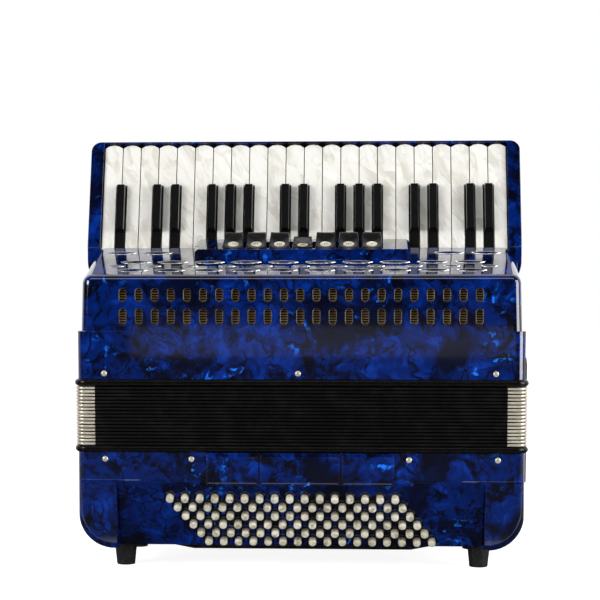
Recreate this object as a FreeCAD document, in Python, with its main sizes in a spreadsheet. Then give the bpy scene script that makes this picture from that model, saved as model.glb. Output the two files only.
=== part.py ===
"""Piano accordion with 37 treble keys and 96 bass buttons, standing on its bass feet.

Millimetres. X runs along the keyboard with the low notes at +X, Y runs from the front (-Y) to
the player (+Y), and Z runs up from the surface that the feet stand on. The origin is under the
middle of the instrument. Every size comes from the sheet of driving dimensions below, and each
formula in this file is a FreeCAD expression over the sheet's aliases.
"""

import FreeCAD, Part

import math
import os
import re

import Sketcher
from FreeCAD import Placement, Rotation, Vector

SIZES = {
    # casings, bellows and frames
    "body_length": (426, "both casings along the keyboard"),
    "body_depth": (190, "both casings, front to back"),
    "casing_wall": (6, "wooden casing walls"),
    "casing_corner": (10, "upright corners of the treble casing"),
    "outline_bevel": (4.7, "bevel round the front and back of the bass casing"),
    "outline_soften": (2, "second bevel on the edges of the first"),
    "bass_corner": (34, "lower corners of the bass casing"),
    "foot_height": (22.5, "rubber feet"),
    "bass_height": (93.8, "bass casing"),
    "frame_height": (6.3, "each bellows frame"),
    "frame_proud": (3.2, "bellows frame outside the casing"),
    "frame_rim": (14, "bellows frame, width of the rim"),
    "frame_bevel": (1.8, "bevel of the frames' outer edges"),
    "fold_count": (17, "bellows folds"),
    "fold_pitch": (3.33, "closed bellows, one fold"),
    "fold_depth": (14, "bellows crest to valley"),
    "fold_crest": (0.6, "thickness of a crest"),
    "fold_proud": (1.2, "crests outside the casing"),
    "bellows_wall": (20, "bellows crest to inside"),
    "casing_height": (46, "treble casing under the grille"),
    "soundboard": (6, "sound boards under the pallets and reed blocks"),
    "soundboard_drop": (12, "bass sound board below the casing's rim"),
    "seat_gap": (0.3, "running gap between pieces that part"),
    # grille
    "grille_inset": (1, "grille front behind the casing front"),
    "grille_end_inset": (3.5, "grille ends inside the casing ends"),
    "grille_wall": (3, "grille cover"),
    "grille_bend": (10, "rounding of the grille's front edge"),
    "grille_slope": (14.4, "degrees, top of the grille"),
    "grille_draft": (2.5, "grille end walls lean in over their height"),
    "grille_end_round": (9, "rounding of the grille ends"),
    "cover_gap": (2, "grille's rear edge to the key line"),
    "slot_count": (23, "slots in each row"),
    "slot_pitch": (15.35, "slots along the row"),
    "slot_width": (7.6, "slots"),
    "slot_low": (5.4, "lower slots above the grille's foot"),
    "slot_low_height": (16.4, "lower slots"),
    "slot_high": (27.3, "upper slots above the grille's foot"),
    "slot_high_height": (13.6, "upper slots"),
    "mesh_thickness": (1, "louvre sheet behind the slots"),
    "mesh_length": (398, "louvre sheet"),
    "leaf_count": (5, "large leaf cut-outs in each half of a row"),
    "leaf_end_count": (2, "large leaf cut-outs beside the tray"),
    "leaf_pitch": (36, "leaf cut-outs along the top"),
    "leaf_length": (28, "large leaf cut-outs"),
    "leaf_round": (24, "radius of a large leaf's two sides"),
    "leaf_tip": (0.8, "blunt ends of the leaves"),
    "leaf_place": (15, "rear row of large leaves in front of the tray"),
    "leaf_row_gap": (15, "one row of leaf cut-outs to the next"),
    "bud_length": (15, "small leaf cut-outs between the rows of large ones"),
    "bud_round": (12, "radius of a small leaf's two sides"),
    # keyboard
    "key_line": (15, "key faces behind the middle of the body, at the grille"),
    "key_rise": (79.8, "key line above the grille's foot"),
    "key_lean": (20, "degrees, keys lean back"),
    "white_count": (22, "white keys"),
    "white_pitch": (18.5, "white keys"),
    "white_length": (111.2, "white keys above the grille"),
    "key_gap": (0.8, "between neighbouring keys"),
    "tip_bulge": (3.4, "curve of the white tips"),
    "key_thickness": (18, "wooden key"),
    "key_tail": (34, "keys inside the grille"),
    "black_width": (9.6, "black keys"),
    "pair_spread": (0, "C sharp and D sharp outwards from the joints of their white keys"),
    "trio_spread": (0, "F sharp and A sharp outwards from the joints of their white keys"),
    "black_length": (66.4, "black keys above the grille"),
    "black_cap_start": (17, "black caps above the grille"),
    "black_cap_height": (8, "black caps above the white keys"),
    "black_cap_taper": (8, "degrees, sides of the black caps"),
    "axle_drop": (22, "key axle below the key line, along the key"),
    "axle_depth": (9, "key axle under the key face"),
    "axle_radius": (1.75, "key axle"),
    "axle_clearance": (0.05, "key slot round the axle"),
    "lever_width": (2, "key levers"),
    "pallet_width": (8.2, "pallets across"),
    "pallet_length": (30, "pallets front to back"),
    "pallet_height": (8, "pallets with felt and leather"),
    "pallet_place": (45, "pallets in front of the middle of the body"),
    "pallet_lap": (1.2, "pallet past its hole, all round"),
    "cheek_width": (13, "keyboard cheeks"),
    "cheek_gap": (0.7, "end keys to the cheeks"),
    "cheek_proud": (3, "cheeks above the white keys"),
    "cheek_round": (10, "upper corners of the cheeks"),
    "bed_depth": (33, "keyboard bed under the key faces"),
    "bed_wall": (6, "keyboard bed back panel"),
    "rail_thickness": (1.8, "end rail above the key tips"),
    "tip_gap": (0.7, "key tips to the end rail"),
    "bed_drop": (14.5, "bed's seat below the key line"),
    "bed_lip": (1.5, "casing lip past the bed's back panel"),
    "rear_drop": (40, "slope of the casing behind the keyboard"),
    # treble registers
    "tray_length": (212, "register tray"),
    "tray_reach": (40, "register tray, front to back"),
    "tray_height": (8.5, "register tray above the grille top"),
    "tray_bevel": (3, "register tray edges"),
    "switch_count": (7, "register switches"),
    "switch_pitch": (22.7, "register switches"),
    "switch_width": (21.3, "register switches"),
    "switch_depth": (25, "register switches, front to back"),
    "switch_rise": (11.5, "raised end of a switch above the tray"),
    "switch_front": (1.5, "front edge of a switch above the tray"),
    "switch_foot": (5, "switch below the tray top"),
    "switch_place": (5.5, "switch front behind the tray front"),
    "switch_press": (14, "degrees, travel of a switch"),
    "switch_gap": (0.5, "before and beside the switches"),
    "switch_rear_gap": (2.3, "behind the switches, for their swing"),
    # bass side
    "panel_top": (64.8, "top of the button board above the casing's underside"),
    "panel_tilt": (26, "degrees, button board"),
    "panel_length": (351, "button board"),
    "panel_thickness": (4, "button board"),
    "panel_ledge": (6, "ledge at the ends of the button board"),
    "panel_foot": (3, "ledge at the foot of the button board"),
    "panel_lip": (2.5, "ledge along the top edge of the button board"),
    "panel_gap": (0.3, "button board in its recess"),
    "row_count": (6, "rows of bass buttons"),
    "row_first": (16.75, "first row below the board's top edge"),
    "row_pitch": (9.83, "rows of bass buttons"),
    "bass_rows": (2, "counter-bass and bass rows"),
    "button_count": (16, "buttons in a row"),
    "button_pitch": (14.38, "buttons in a row"),
    "button_start": (-125, "first button of the first row, from the middle"),
    "button_radius": (4.2, "bass buttons, to the corners"),
    "button_clearance": (0.7, "holes round the buttons"),
    "button_proud": (6, "bass buttons above the board"),
    "button_stem": (7, "bass buttons below the board's face"),
    "pad_middle": (76.8, "middle register pad"),
    "pad_side": (50.1, "outer register pads"),
    "pad_gap": (1, "between the register pads"),
    "pad_bottom": (67.1, "register pads above the casing's underside"),
    "pad_height": (26.3, "register pads"),
    "pad_proud": (4, "register pads in front of the casing"),
    "pad_standoff": (2.2, "plates of the register pads in front of the casing"),
    "pad_edge": (0.4, "upright edges of the register pads"),
    "pad_lap": (4.5, "plates of the register pads under their stems"),
    "pad_sunk": (3, "register pads inside the casing front"),
    "pad_taper": (68, "degrees that the bevels of the register pads lean in"),
    "pad_clearance": (0.4, "round the register pads"),
    "cover_length": (310, "bass bottom cover"),
    "cover_depth": (126, "bass bottom cover"),
    "cover_place": (17, "bass bottom cover and strap behind the middle"),
    "cover_thickness": (2.5, "bass bottom cover"),
    "cover_seat": (6, "bottom cover past its opening"),
    "strap_length": (300, "hand strap"),
    "strap_width": (72, "hand strap"),
    "strap_thickness": (3, "hand strap"),
    "strap_tab": (16, "hand strap ends"),
    "strap_run": (26, "hand strap, slope to its low stretch"),
    "strap_sag": (5, "hand strap under the cover"),
    "foot_place": (173.3, "feet from the middle, along the body"),
    "foot_front": (43, "front feet in front of the middle"),
    "foot_back": (72, "back feet behind the middle"),
    "foot_top_radius": (11.2, "feet at the casing, to their corners"),
    "foot_taper": (5.7, "degrees, sides of the feet"),
    "air_place": (166, "air button from the middle, along the body"),
    "air_back": (10, "air button behind the middle"),
    "air_radius": (5, "air button"),
    "air_clearance": (0.4, "round the air button"),
    "air_reach": (8, "air button under the casing"),
    "air_inside": (5, "air button inside the casing"),
    # bellows straps and reed blocks
    "tie_width": (22, "bellows straps"),
    "tie_thickness": (3.2, "bellows straps"),
    "tie_bottom": (56.8, "bellows straps above the casing's underside"),
    "tie_length": (123.5, "bellows straps"),
    "tie_gap": (0.5, "bellows straps to their anchors and studs"),
    "anchor_reach": (4.8, "strap anchors and studs outside the casing"),
    "anchor_height": (11, "strap anchors"),
    "anchor_rise": (2.5, "strap anchors above the strap's lower end"),
    "stud_radius": (5, "snap studs"),
    "stud_rise": (9, "snap studs above the treble casing's foot"),
    "block_length": (380, "reed blocks"),
    "block_foot": (24, "reed blocks at the sound board"),
    "block_tip": (14, "reed blocks at the free edge"),
    "block_pitch": (42, "reed blocks, front to back"),
    "treble_block_height": (58, "treble reed blocks"),
    "bass_block_height": (38, "bass reed blocks"),
}

os.makedirs("parts", exist_ok=True)
doc = FreeCAD.newDocument("PianoAccordion")
sheet = doc.addObject("Spreadsheet::Sheet", "Sizes")
for row, (alias, (value, meaning)) in enumerate(SIZES.items(), start=1):
    sheet.set(f"A{row}", alias)
    sheet.set(f"B{row}", str(value))
    sheet.setAlias(f"B{row}", alias)
    sheet.set(f"C{row}", meaning)
doc.recompute()

WORD = re.compile(r"[a-z][a-z_]*")
nodes = []
cuts = []


def formula(text):
    """A formula over aliases as a FreeCAD expression over the sheet."""
    return WORD.sub(lambda m: f"Sizes.{m[0]}" if m[0] in SIZES else m[0], str(text))


def number(text):
    return float(sheet.evalExpression(formula(text)))


def bind(thing, **formulas):
    """Bind properties to formulas; a double underscore in a name stands for a dot."""
    for name, text in formulas.items():
        thing.setExpression(name.replace("__", "."), formula(text))


# Heights of the stack, from the surface upwards.
bass_base = "foot_height"
bass_top = f"({bass_base} + bass_height)"
fold_base = f"({bass_top} + frame_height)"
fold_top = f"({fold_base} + fold_count * fold_pitch)"
treble_base = f"({fold_top} + frame_height + seat_gap)"
grille_base = f"({treble_base} + casing_height)"
key_base = f"({grille_base} + key_rise)"
bed_seat = f"({key_base} - bed_drop)"
board_top = grille_base
pallet_base = f"({board_top} + seat_gap)"
pallet_top = f"({pallet_base} + pallet_height)"
panel_edge = f"({bass_base} + panel_top)"

# Faces of the casings.
front = "(-body_depth / 2)"
back = "(body_depth / 2)"
side = "(body_length / 2)"
grille_front = f"({front} + grille_inset)"
grille_end = f"({side} - grille_end_inset)"
cover_rear = "(key_line - cover_gap)"
key_block = "(white_count * white_pitch)"
bed_inside = f"({key_block} / 2 + cheek_gap)"


def body(label):
    """A new body, which is one sub-part of the instrument."""
    new = doc.addObject("PartDesign::Body", label)
    new.Label = label
    new.AllowCompound = True
    nodes.append(new)
    return new


def keep(thing, label):
    """Make a Part object one of the sub-parts."""
    thing.Label = label
    nodes.append(thing)
    return thing


def sketch(owner, name, plane, *outlines, offset="0"):
    """A sketch on one of the body's origin planes, moved along the plane's normal.

    An outline is a list of corners (u, v) and arcs (u, v, radius, start, end), the arc given by its
    centre and its angles in degrees. Straight lines join what follows in the list. An outline
    that is one tuple (u, v, radius) is a circle.
    """
    new = owner.newObject("Sketcher::SketchObject", name)
    support = next(f for f in owner.Origin.OriginFeatures if f.Role == plane)
    new.AttachmentSupport = (support, [""])
    new.MapMode = "FlatFace"
    bind(new, AttachmentOffset__Base__z=offset)
    for outline in outlines:
        if isinstance(outline, tuple):
            add_circle(new, *outline)
        else:
            add_outline(new, outline)
    return new


def constrain(drawing, kind, formula_text, *where):
    """Add a dimension and bind it to its formula."""
    place = drawing.addConstraint(Sketcher.Constraint(kind, *where, number(formula_text)))
    drawing.setExpression(f"Constraints[{place}]", formula(formula_text))


def fix_point(drawing, edge, end, u, v):
    constrain(drawing, "DistanceX", u, edge, end)
    constrain(drawing, "DistanceY", v, edge, end)


def add_circle(drawing, u, v, radius):
    centre = Vector(number(u), number(v), 0)
    edge = drawing.addGeometry(Part.Circle(centre, Vector(0, 0, 1), number(radius)))
    fix_point(drawing, edge, 3, u, v)
    constrain(drawing, "Radius", radius, edge)


def on_arc(u, v, radius, angle):
    return f"({u}) + ({radius}) * cos({angle})", f"({v}) + ({radius}) * sin({angle})"


def flats(u, v, radius, start, end, count):
    """Corners along an arc that is drawn with a count of flats."""
    turns = [f"({start}) + {place} * (({end}) - ({start})) / {count}" for place in range(count + 1)]
    return [on_arc(u, v, radius, turn) for turn in turns]


def many_sided(u, v, radius, count):
    """A round outline drawn with a count of flats, for small pieces and pieces that repeat."""
    return flats(u, v, radius, "0", "360", count)[:-1]


def add_outline(drawing, outline):
    """Add one closed outline, each corner and arc end held by its own formulas."""
    spans = []
    for item in outline:
        if len(item) == 2:
            spans.append((item, item, None))
            continue
        u, v, radius, start, end = item
        middle = on_arc(u, v, radius, f"(({start}) + ({end})) / 2")
        ends = (on_arc(u, v, radius, start), on_arc(u, v, radius, end))
        spans.append((*ends, (u, v, middle, math.radians(number(end)))))
    here = lambda point: Vector(number(point[0]), number(point[1]), 0)
    first = None
    last = None
    for (start, end, bend), (following, _, _) in zip(spans, spans[1:] + spans[:1]):
        if bend:
            u, v, middle, end_angle = bend
            arc = drawing.addGeometry(Part.Arc(here(start), here(middle), here(end)))
            fix_point(drawing, arc, 3, u, v)
            fix_point(drawing, arc, 1, *start)
            # The centre and the start give the radius, so one coordinate settles the end.
            if abs(math.sin(end_angle)) > abs(math.cos(end_angle)):
                constrain(drawing, "DistanceX", end[0], arc, 2)
            else:
                constrain(drawing, "DistanceY", end[1], arc, 2)
            if last:
                drawing.addConstraint(Sketcher.Constraint("Coincident", *last, arc, 1))
            first = first or (arc, 1)
            last = (arc, 2)
        line = drawing.addGeometry(Part.LineSegment(here(end), here(following)))
        if not bend:
            fix_point(drawing, line, 1, *end)
        if last:
            drawing.addConstraint(Sketcher.Constraint("Coincident", *last, line, 1))
        first = first or (line, 1)
        last = (line, 2)
    drawing.addConstraint(Sketcher.Constraint("Coincident", *last, *first))


def box_outline(u_low, u_high, v_low, v_high):
    return [(u_low, v_low), (u_high, v_low), (u_high, v_high), (u_low, v_high)]


def pad(owner, name, drawing, length, both_ways=False, reverse=False):
    new = owner.newObject("PartDesign::Pad", name)
    new.Profile = drawing
    new.SideType = "Symmetric" if both_ways else "One side"
    new.Reversed = reverse
    bind(new, Length=length)
    return new


def pocket(owner, name, drawing, length, both_ways=False, reverse=False):
    """Cut a sketch into the body; check_cuts makes sure later that it did cut."""
    before = owner.Tip
    new = owner.newObject("PartDesign::Pocket", name)
    new.Profile = drawing
    new.SideType = "Symmetric" if both_ways else "One side"
    new.Reversed = reverse
    bind(new, Length=length)
    cuts.append((before, new))
    return new


def row_of(owner, name, originals, axis, count, pitch):
    """Repeat features along one of the body's axes, both ways from the middle if centred there."""
    new = owner.newObject("PartDesign::LinearPattern", name)
    new.Originals = originals
    direction = next(f for f in owner.Origin.OriginFeatures if f.Role == axis)
    new.Direction = (direction, [""])
    new.Mode = "Spacing"
    bind(new, Occurrences=count, Offset=pitch)
    owner.Tip = new
    return new


def edges_where(feature, test):
    """Names of the edges of a recomputed feature that pass a test."""
    doc.recompute()
    edges = enumerate(feature.Shape.Edges, start=1)
    return [f"Edge{place}" for place, edge in edges if test(edge)]


def dress(owner, kind, name, feature, test, **sizes):
    """Fillet or chamfer the edges of the last feature that pass a test."""
    chosen = edges_where(feature, test)
    assert chosen, f"{name} found no edge"
    new = owner.newObject(f"PartDesign::{kind}", name)
    new.Base = (feature, chosen)
    bind(new, **sizes)
    return new


def near(value, text, slack=0.01):
    return abs(value - number(text)) < slack


def upright(edge):
    return edge.BoundBox.XLength < 0.01 and edge.BoundBox.YLength < 0.01


# --- bass casing -------------------------------------------------------------------------------


def bass_outline(inset, top):
    """Front view of the bass casing, drawn in by an inset."""
    corner = f"(bass_corner - {inset})"
    reach = f"({side} - bass_corner)"
    height = f"({bass_base} + bass_corner)"
    return [
        (f"-({side} - {inset})", top),
        (f"-{reach}", height, corner, "180", "270"),
        (reach, height, corner, "270", "360"),
        (f"({side} - {inset})", top),
    ]


def panel_y(height, depth):
    """Where a plane parallel to the button board, a depth behind its face, meets a height."""
    return f"({front} + ({panel_edge} - {height}) * tan(panel_tilt) + {depth} / cos(panel_tilt))"


def make_bass_casing():
    casing = body("bass_casing")
    outer = pad(
        casing,
        "BassOuter",
        sketch(casing, "BassOutline", "XZ_Plane", bass_outline("0", bass_top)),
        "body_depth",
        both_ways=True,
    )

    def on_outline(edge, depth):
        box = edge.BoundBox
        level = box.YLength < 0.01 and near(abs(box.Center.y), f"{back} - {depth}")
        return level and not near(box.ZMin, bass_top)

    # Two flat steps stand for the round, because a curved corner here takes very many faces.
    first = dress(
        casing,
        "Chamfer",
        "BassBevel",
        outer,
        lambda edge: on_outline(edge, "0"),
        Size="outline_bevel",
    )
    dress(
        casing,
        "Chamfer",
        "BassSoften",
        first,
        lambda edge: on_outline(edge, "0") or on_outline(edge, "outline_bevel"),
        Size="outline_soften",
    )
    inside = bass_outline("casing_wall", f"({bass_top} + 1)")
    pocket(
        casing,
        "BassHollow",
        sketch(casing, "BassInside", "XZ_Plane", inside),
        "body_depth - 2 * casing_wall",
        both_ways=True,
    )
    board_low = f"({bass_top} - soundboard_drop)"
    board = box_outline(
        f"({front} + casing_wall / 2)",
        f"({back} - casing_wall / 2)",
        board_low,
        f"({board_low} + soundboard)",
    )
    pad(
        casing,
        "BassSoundboard",
        sketch(casing, "BassBoard", "YZ_Plane", board),
        "body_length - casing_wall",
        both_ways=True,
    )
    # A frame behind the button board, then the recess, then the window that the stems reach in.
    low = f"({bass_base} + 1)"
    high = f"({panel_edge} + panel_ledge)"
    behind = "(panel_thickness + panel_ledge)"
    housing = [
        (f"({front} + 1)", low),
        (panel_y(low, behind), low),
        (panel_y(high, behind), high),
        (f"({front} + 1)", high),
    ]
    pad(
        casing,
        "PanelFrame",
        sketch(casing, "PanelFrameSide", "YZ_Plane", housing),
        "panel_length + 2 * casing_wall",
        both_ways=True,
    )
    under = f"({bass_base} - 1)"
    recess = [
        (f"({front} - 1)", under),
        (panel_y(under, "panel_thickness"), under),
        (panel_y(panel_edge, "panel_thickness"), panel_edge),
        (f"({front} - 1)", panel_edge),
    ]
    pocket(
        casing,
        "PanelRecess",
        sketch(casing, "PanelRecessSide", "YZ_Plane", recess),
        "panel_length",
        both_ways=True,
    )
    low = f"({bass_base} + panel_foot)"
    high = f"({panel_edge} - panel_lip)"
    window = [
        (panel_y(low, "0"), low),
        (panel_y(low, f"(2 * {behind})"), low),
        (panel_y(high, f"(2 * {behind})"), high),
        (panel_y(high, "0"), high),
    ]
    pocket(
        casing,
        "PanelWindow",
        sketch(casing, "PanelWindowSide", "YZ_Plane", window),
        "panel_length - 2 * panel_ledge",
        both_ways=True,
    )
    reach = "(pad_middle / 2 + pad_gap + pad_side + pad_clearance)"
    pads = box_outline(
        f"-{reach}", reach, f"({bass_base} + pad_bottom - pad_clearance)", f"({bass_top} + 1)"
    )
    pocket(
        casing,
        "PadWindow",
        sketch(casing, "PadWindowFront", "XZ_Plane", pads, offset=f"-{front} + 1"),
        "casing_wall + 2",
    )
    half = "(cover_length / 2 - cover_seat)"
    depth = "(cover_depth / 2 - cover_seat)"
    hatch = box_outline(f"-{half}", half, f"(cover_place - {depth})", f"(cover_place + {depth})")
    pocket(
        casing,
        "BottomHatch",
        sketch(
            casing,
            "BottomHatchPlan",
            "XY_Plane",
            hatch,
            many_sided("air_place", "air_back", "(air_radius + air_clearance)", 16),
            offset=f"{bass_base} + casing_wall + 1",
        ),
        "casing_wall + 2",
    )
    anchor_low = f"({bass_base} + tie_bottom + anchor_rise)"
    anchor = box_outline(
        "-tie_width / 2 + 2", "tie_width / 2 - 2", anchor_low, f"({anchor_low} + anchor_height)"
    )
    for name, way in (("Right", "1"), ("Left", "-1")):
        drawing = sketch(
            casing, f"Anchor{name}Side", "YZ_Plane", anchor, offset=f"{way} * ({side} - 1)"
        )
        pad(casing, f"Anchor{name}", drawing, "anchor_reach + 1", reverse=way == "-1")


def make_bottom_cover():
    cover = body("bass_bottom_cover")
    plan = box_outline(
        "-cover_length / 2",
        "cover_length / 2",
        "(cover_place - cover_depth / 2)",
        "(cover_place + cover_depth / 2)",
    )
    pad(
        cover,
        "Cover",
        sketch(cover, "CoverPlan", "XY_Plane", plan, offset=f"{bass_base} - cover_thickness"),
        "cover_thickness",
    )


def make_hand_strap():
    strap = body("hand_strap")
    top = f"({bass_base} - cover_thickness)"
    half = "(strap_length / 2)"
    tab = f"({half} - strap_tab)"
    low = f"({tab} - strap_run)"
    under = f"({top} - strap_thickness)"
    profile = [
        (f"-{half}", top),
        (f"-{half}", under),
        (f"-{tab}", under),
        (f"-{low}", f"({under} - strap_sag)"),
        (low, f"({under} - strap_sag)"),
        (tab, under),
        (half, under),
        (half, top),
        (tab, top),
        (low, f"({top} - strap_sag)"),
        (f"-{low}", f"({top} - strap_sag)"),
        (f"-{tab}", top),
    ]
    drawing = sketch(strap, "StrapProfile", "XZ_Plane", profile, offset="-cover_place")
    pad(strap, "Strap", drawing, "strap_width", both_ways=True)


def make_feet():
    """Tapered rubber feet."""
    feet = body("rubber_feet")
    outlines = [
        many_sided(x, y, "foot_top_radius", 16)
        for x in ("-foot_place", "foot_place")
        for y in ("-foot_front", "foot_back")
    ]
    drawing = sketch(feet, "FeetPlan", "XY_Plane", *outlines, offset=bass_base)
    blocks = pad(feet, "Feet", drawing, "foot_height", reverse=True)
    bind(blocks, TaperAngle="-foot_taper")


def make_air_button():
    button = body("air_button")
    plan = many_sided("air_place", "air_back", "air_radius", 16)
    drawing = sketch(button, "AirButtonPlan", "XY_Plane", plan, offset=f"{bass_base} - air_reach")
    pad(button, "Plunger", drawing, "air_reach + casing_wall + air_inside")


# --- bass buttons and registers ----------------------------------------------------------------


def button_group(name, rows, radius, below, above):
    """Six-sided prisms at the places of the bass buttons, as one compound."""
    prisms = []
    for row in rows:
        for place in range(int(number("button_count"))):
            prism = doc.addObject("Part::Prism", "Button")
            prism.Polygon = 6
            bind(
                prism,
                Circumradius=radius,
                Height=f"{below} + {above}",
                Placement__Base__x=f"button_start + ({place} + {row} / 2) * button_pitch",
                Placement__Base__y=f"-(row_first + {row} * row_pitch)",
                Placement__Base__z=f"-{below}",
            )
            prisms.append(prism)
    group = doc.addObject("Part::Compound", name)
    group.Links = prisms
    group.Placement = Placement(Vector(), Rotation(Vector(1, 0, 0), 90))
    bind(
        group,
        Placement__Base__y=front,
        Placement__Base__z=panel_edge,
        Placement__Rotation__Angle="90 + panel_tilt",
    )
    return group


def make_button_board():
    board = doc.addObject("PartDesign::Body", "BoardPlate")
    profile = [
        (panel_y(panel_edge, "0"), panel_edge),
        (panel_y(bass_base, "0"), bass_base),
        (panel_y(bass_base, "panel_thickness"), bass_base),
        (panel_y(panel_edge, "panel_thickness"), panel_edge),
    ]
    pad(
        board,
        "Plate",
        sketch(board, "PlateSide", "YZ_Plane", profile),
        "panel_length - 2 * panel_gap",
        both_ways=True,
    )
    rows = range(int(number("row_count")))
    holes = button_group("Holes", rows, "button_radius + button_clearance", "2 * panel_thickness", "1")
    pierced = doc.addObject("Part::Cut", "PiercedBoard")
    pierced.Base = board
    pierced.Tool = holes
    keep(pierced, "bass_button_board")


def make_bass_buttons():
    first_chord = int(number("bass_rows"))
    last = int(number("row_count"))
    sizes = ("button_radius", "button_stem", "button_proud")
    keep(button_group("NoteButtons", range(first_chord), *sizes), "bass_note_buttons")
    keep(button_group("ChordButtons", range(first_chord, last), *sizes), "chord_buttons")


def make_register_pads():
    """Bevelled plates on stems; the plates reach down to the top of the button recess."""
    pads = body("bass_register_pads")
    inner = "(pad_middle / 2 + pad_gap)"
    spans = [
        ("-pad_middle / 2", "pad_middle / 2"),
        (inner, f"({inner} + pad_side)"),
        (f"-({inner} + pad_side)", f"-{inner}"),
    ]
    low = f"({bass_base} + pad_bottom)"
    high = f"({low} + pad_height)"
    outlines = [box_outline(*span, low, high) for span in spans]
    drawing = sketch(pads, "StemsFront", "XZ_Plane", *outlines, offset=f"-{front} - pad_sunk")
    pad(pads, "Stems", drawing, "pad_sunk + pad_standoff")
    outlines = [box_outline(*span, f"({low} - pad_lap)", high) for span in spans]
    plate_back = f"-{front} + pad_standoff"
    drawing = sketch(pads, "PlatesFront", "XZ_Plane", *outlines, offset=plate_back)
    pad(pads, "Plates", drawing, "pad_edge")
    plate_edge = f"{plate_back} + pad_edge"
    drawing = sketch(pads, "BevelsFront", "XZ_Plane", *outlines, offset=plate_edge)
    bevels = pad(pads, "Bevels", drawing, "pad_proud - pad_standoff - pad_edge")
    bind(bevels, TaperAngle="-pad_taper")


# --- bellows -----------------------------------------------------------------------------------


def make_frame(label, base):
    """A bevelled frame that carries one end of the bellows."""
    frame = body(label)
    x = f"({side} + frame_proud)"
    y = f"({back} + frame_proud)"
    plan = box_outline(f"-{x}", x, f"-{y}", y)
    ring = pad(frame, "Ring", sketch(frame, "RingPlan", "XY_Plane", plan, offset=base), "frame_height")
    corners = dress(frame, "Fillet", "RingCorners", ring, upright, Radius="casing_corner + frame_proud")

    def rim(edge):
        return edge.BoundBox.ZLength < 0.01

    dress(frame, "Chamfer", "RingBevel", corners, rim, Size="frame_bevel")
    x = f"({side} + frame_proud - frame_rim)"
    y = f"({back} + frame_proud - frame_rim)"
    opening = box_outline(f"-{x}", x, f"-{y}", y)
    drawing = sketch(frame, "OpeningPlan", "XY_Plane", opening, offset=f"{base} + frame_height + 1")
    pocket(frame, "Opening", drawing, "frame_height + 2")


def make_bellows():
    bellows = body("bellows")
    x = f"({side} + fold_proud)"
    y = f"({back} + fold_proud)"
    plan = box_outline(f"-{x}", x, f"-{y}", y)
    drawing = sketch(bellows, "BellowsPlan", "XY_Plane", plan, offset=fold_base)
    pad(bellows, "Folds", drawing, "fold_count * fold_pitch")
    inner_x = f"({x} - bellows_wall)"
    inner_y = f"({y} - bellows_wall)"
    plan = box_outline(f"-{inner_x}", inner_x, f"-{inner_y}", inner_y)
    drawing = sketch(bellows, "AirPlan", "XY_Plane", plan, offset=f"{fold_top} + 1")
    pocket(bellows, "Air", drawing, "fold_count * fold_pitch + 2")
    gap = "(fold_pitch - fold_crest) / 2"
    grooves = []
    for name, plane, reach in (("Long", "YZ_Plane", y), ("Short", "XZ_Plane", x)):
        outlines = [
            [
                (f"{way} * {reach}", f"{fold_base} - {gap}"),
                (f"{way} * ({reach} - fold_depth)", fold_base),
                (f"{way} * {reach}", f"{fold_base} + {gap}"),
            ]
            for way in ("-1", "1")
        ]
        drawing = sketch(bellows, f"{name}Valley", plane, *outlines)
        grooves.append(pocket(bellows, f"{name}Groove", drawing, "2 * body_length", both_ways=True))
    row_of(bellows, "Valleys", grooves, "Z_Axis", "fold_count + 1", "fold_pitch")


# --- treble casing and grille ------------------------------------------------------------------


def lean_y(rise, height):
    """Y of a plane parallel to the keys, a height above their faces, at a rise over the key line."""
    return f"(key_line + ({rise}) * tan(key_lean) - ({height}) / cos(key_lean))"


def key_x(white_places):
    """Distance along the keyboard, from the low end, as a place on the X axis."""
    return f"({key_block} / 2 - {white_places} * white_pitch)"


def key_list():
    """(label, place from the low end in white keys, is black) for each key from G3 up to G6."""
    naturals = ["g", "a", "b", "c", "d", "e", "f"]
    keys = []
    whites = int(number("white_count"))
    for place in range(whites):
        name = naturals[place % 7]
        octave = 3 + (place + 4) // 7
        keys.append((f"key_{name}{octave}", place + 0.5, False))
        if name not in "be" and place < whites - 1:
            keys.append((f"key_{name}_sharp{octave}", place + 1, True))
    return keys


def black_shifts(keys):
    """How far each black key stands to the high side of its joint, by its place.

    The outer keys of each group of two or three spread apart; the topmost has no group.
    """
    spread = {"c": "-pair_spread", "d": "pair_spread", "f": "-trio_spread", "a": "trio_spread"}
    shifts = {place: spread.get(label[4], "0") for label, place, black in keys if black}
    shifts[max(shifts)] = "0"
    return shifts


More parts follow.
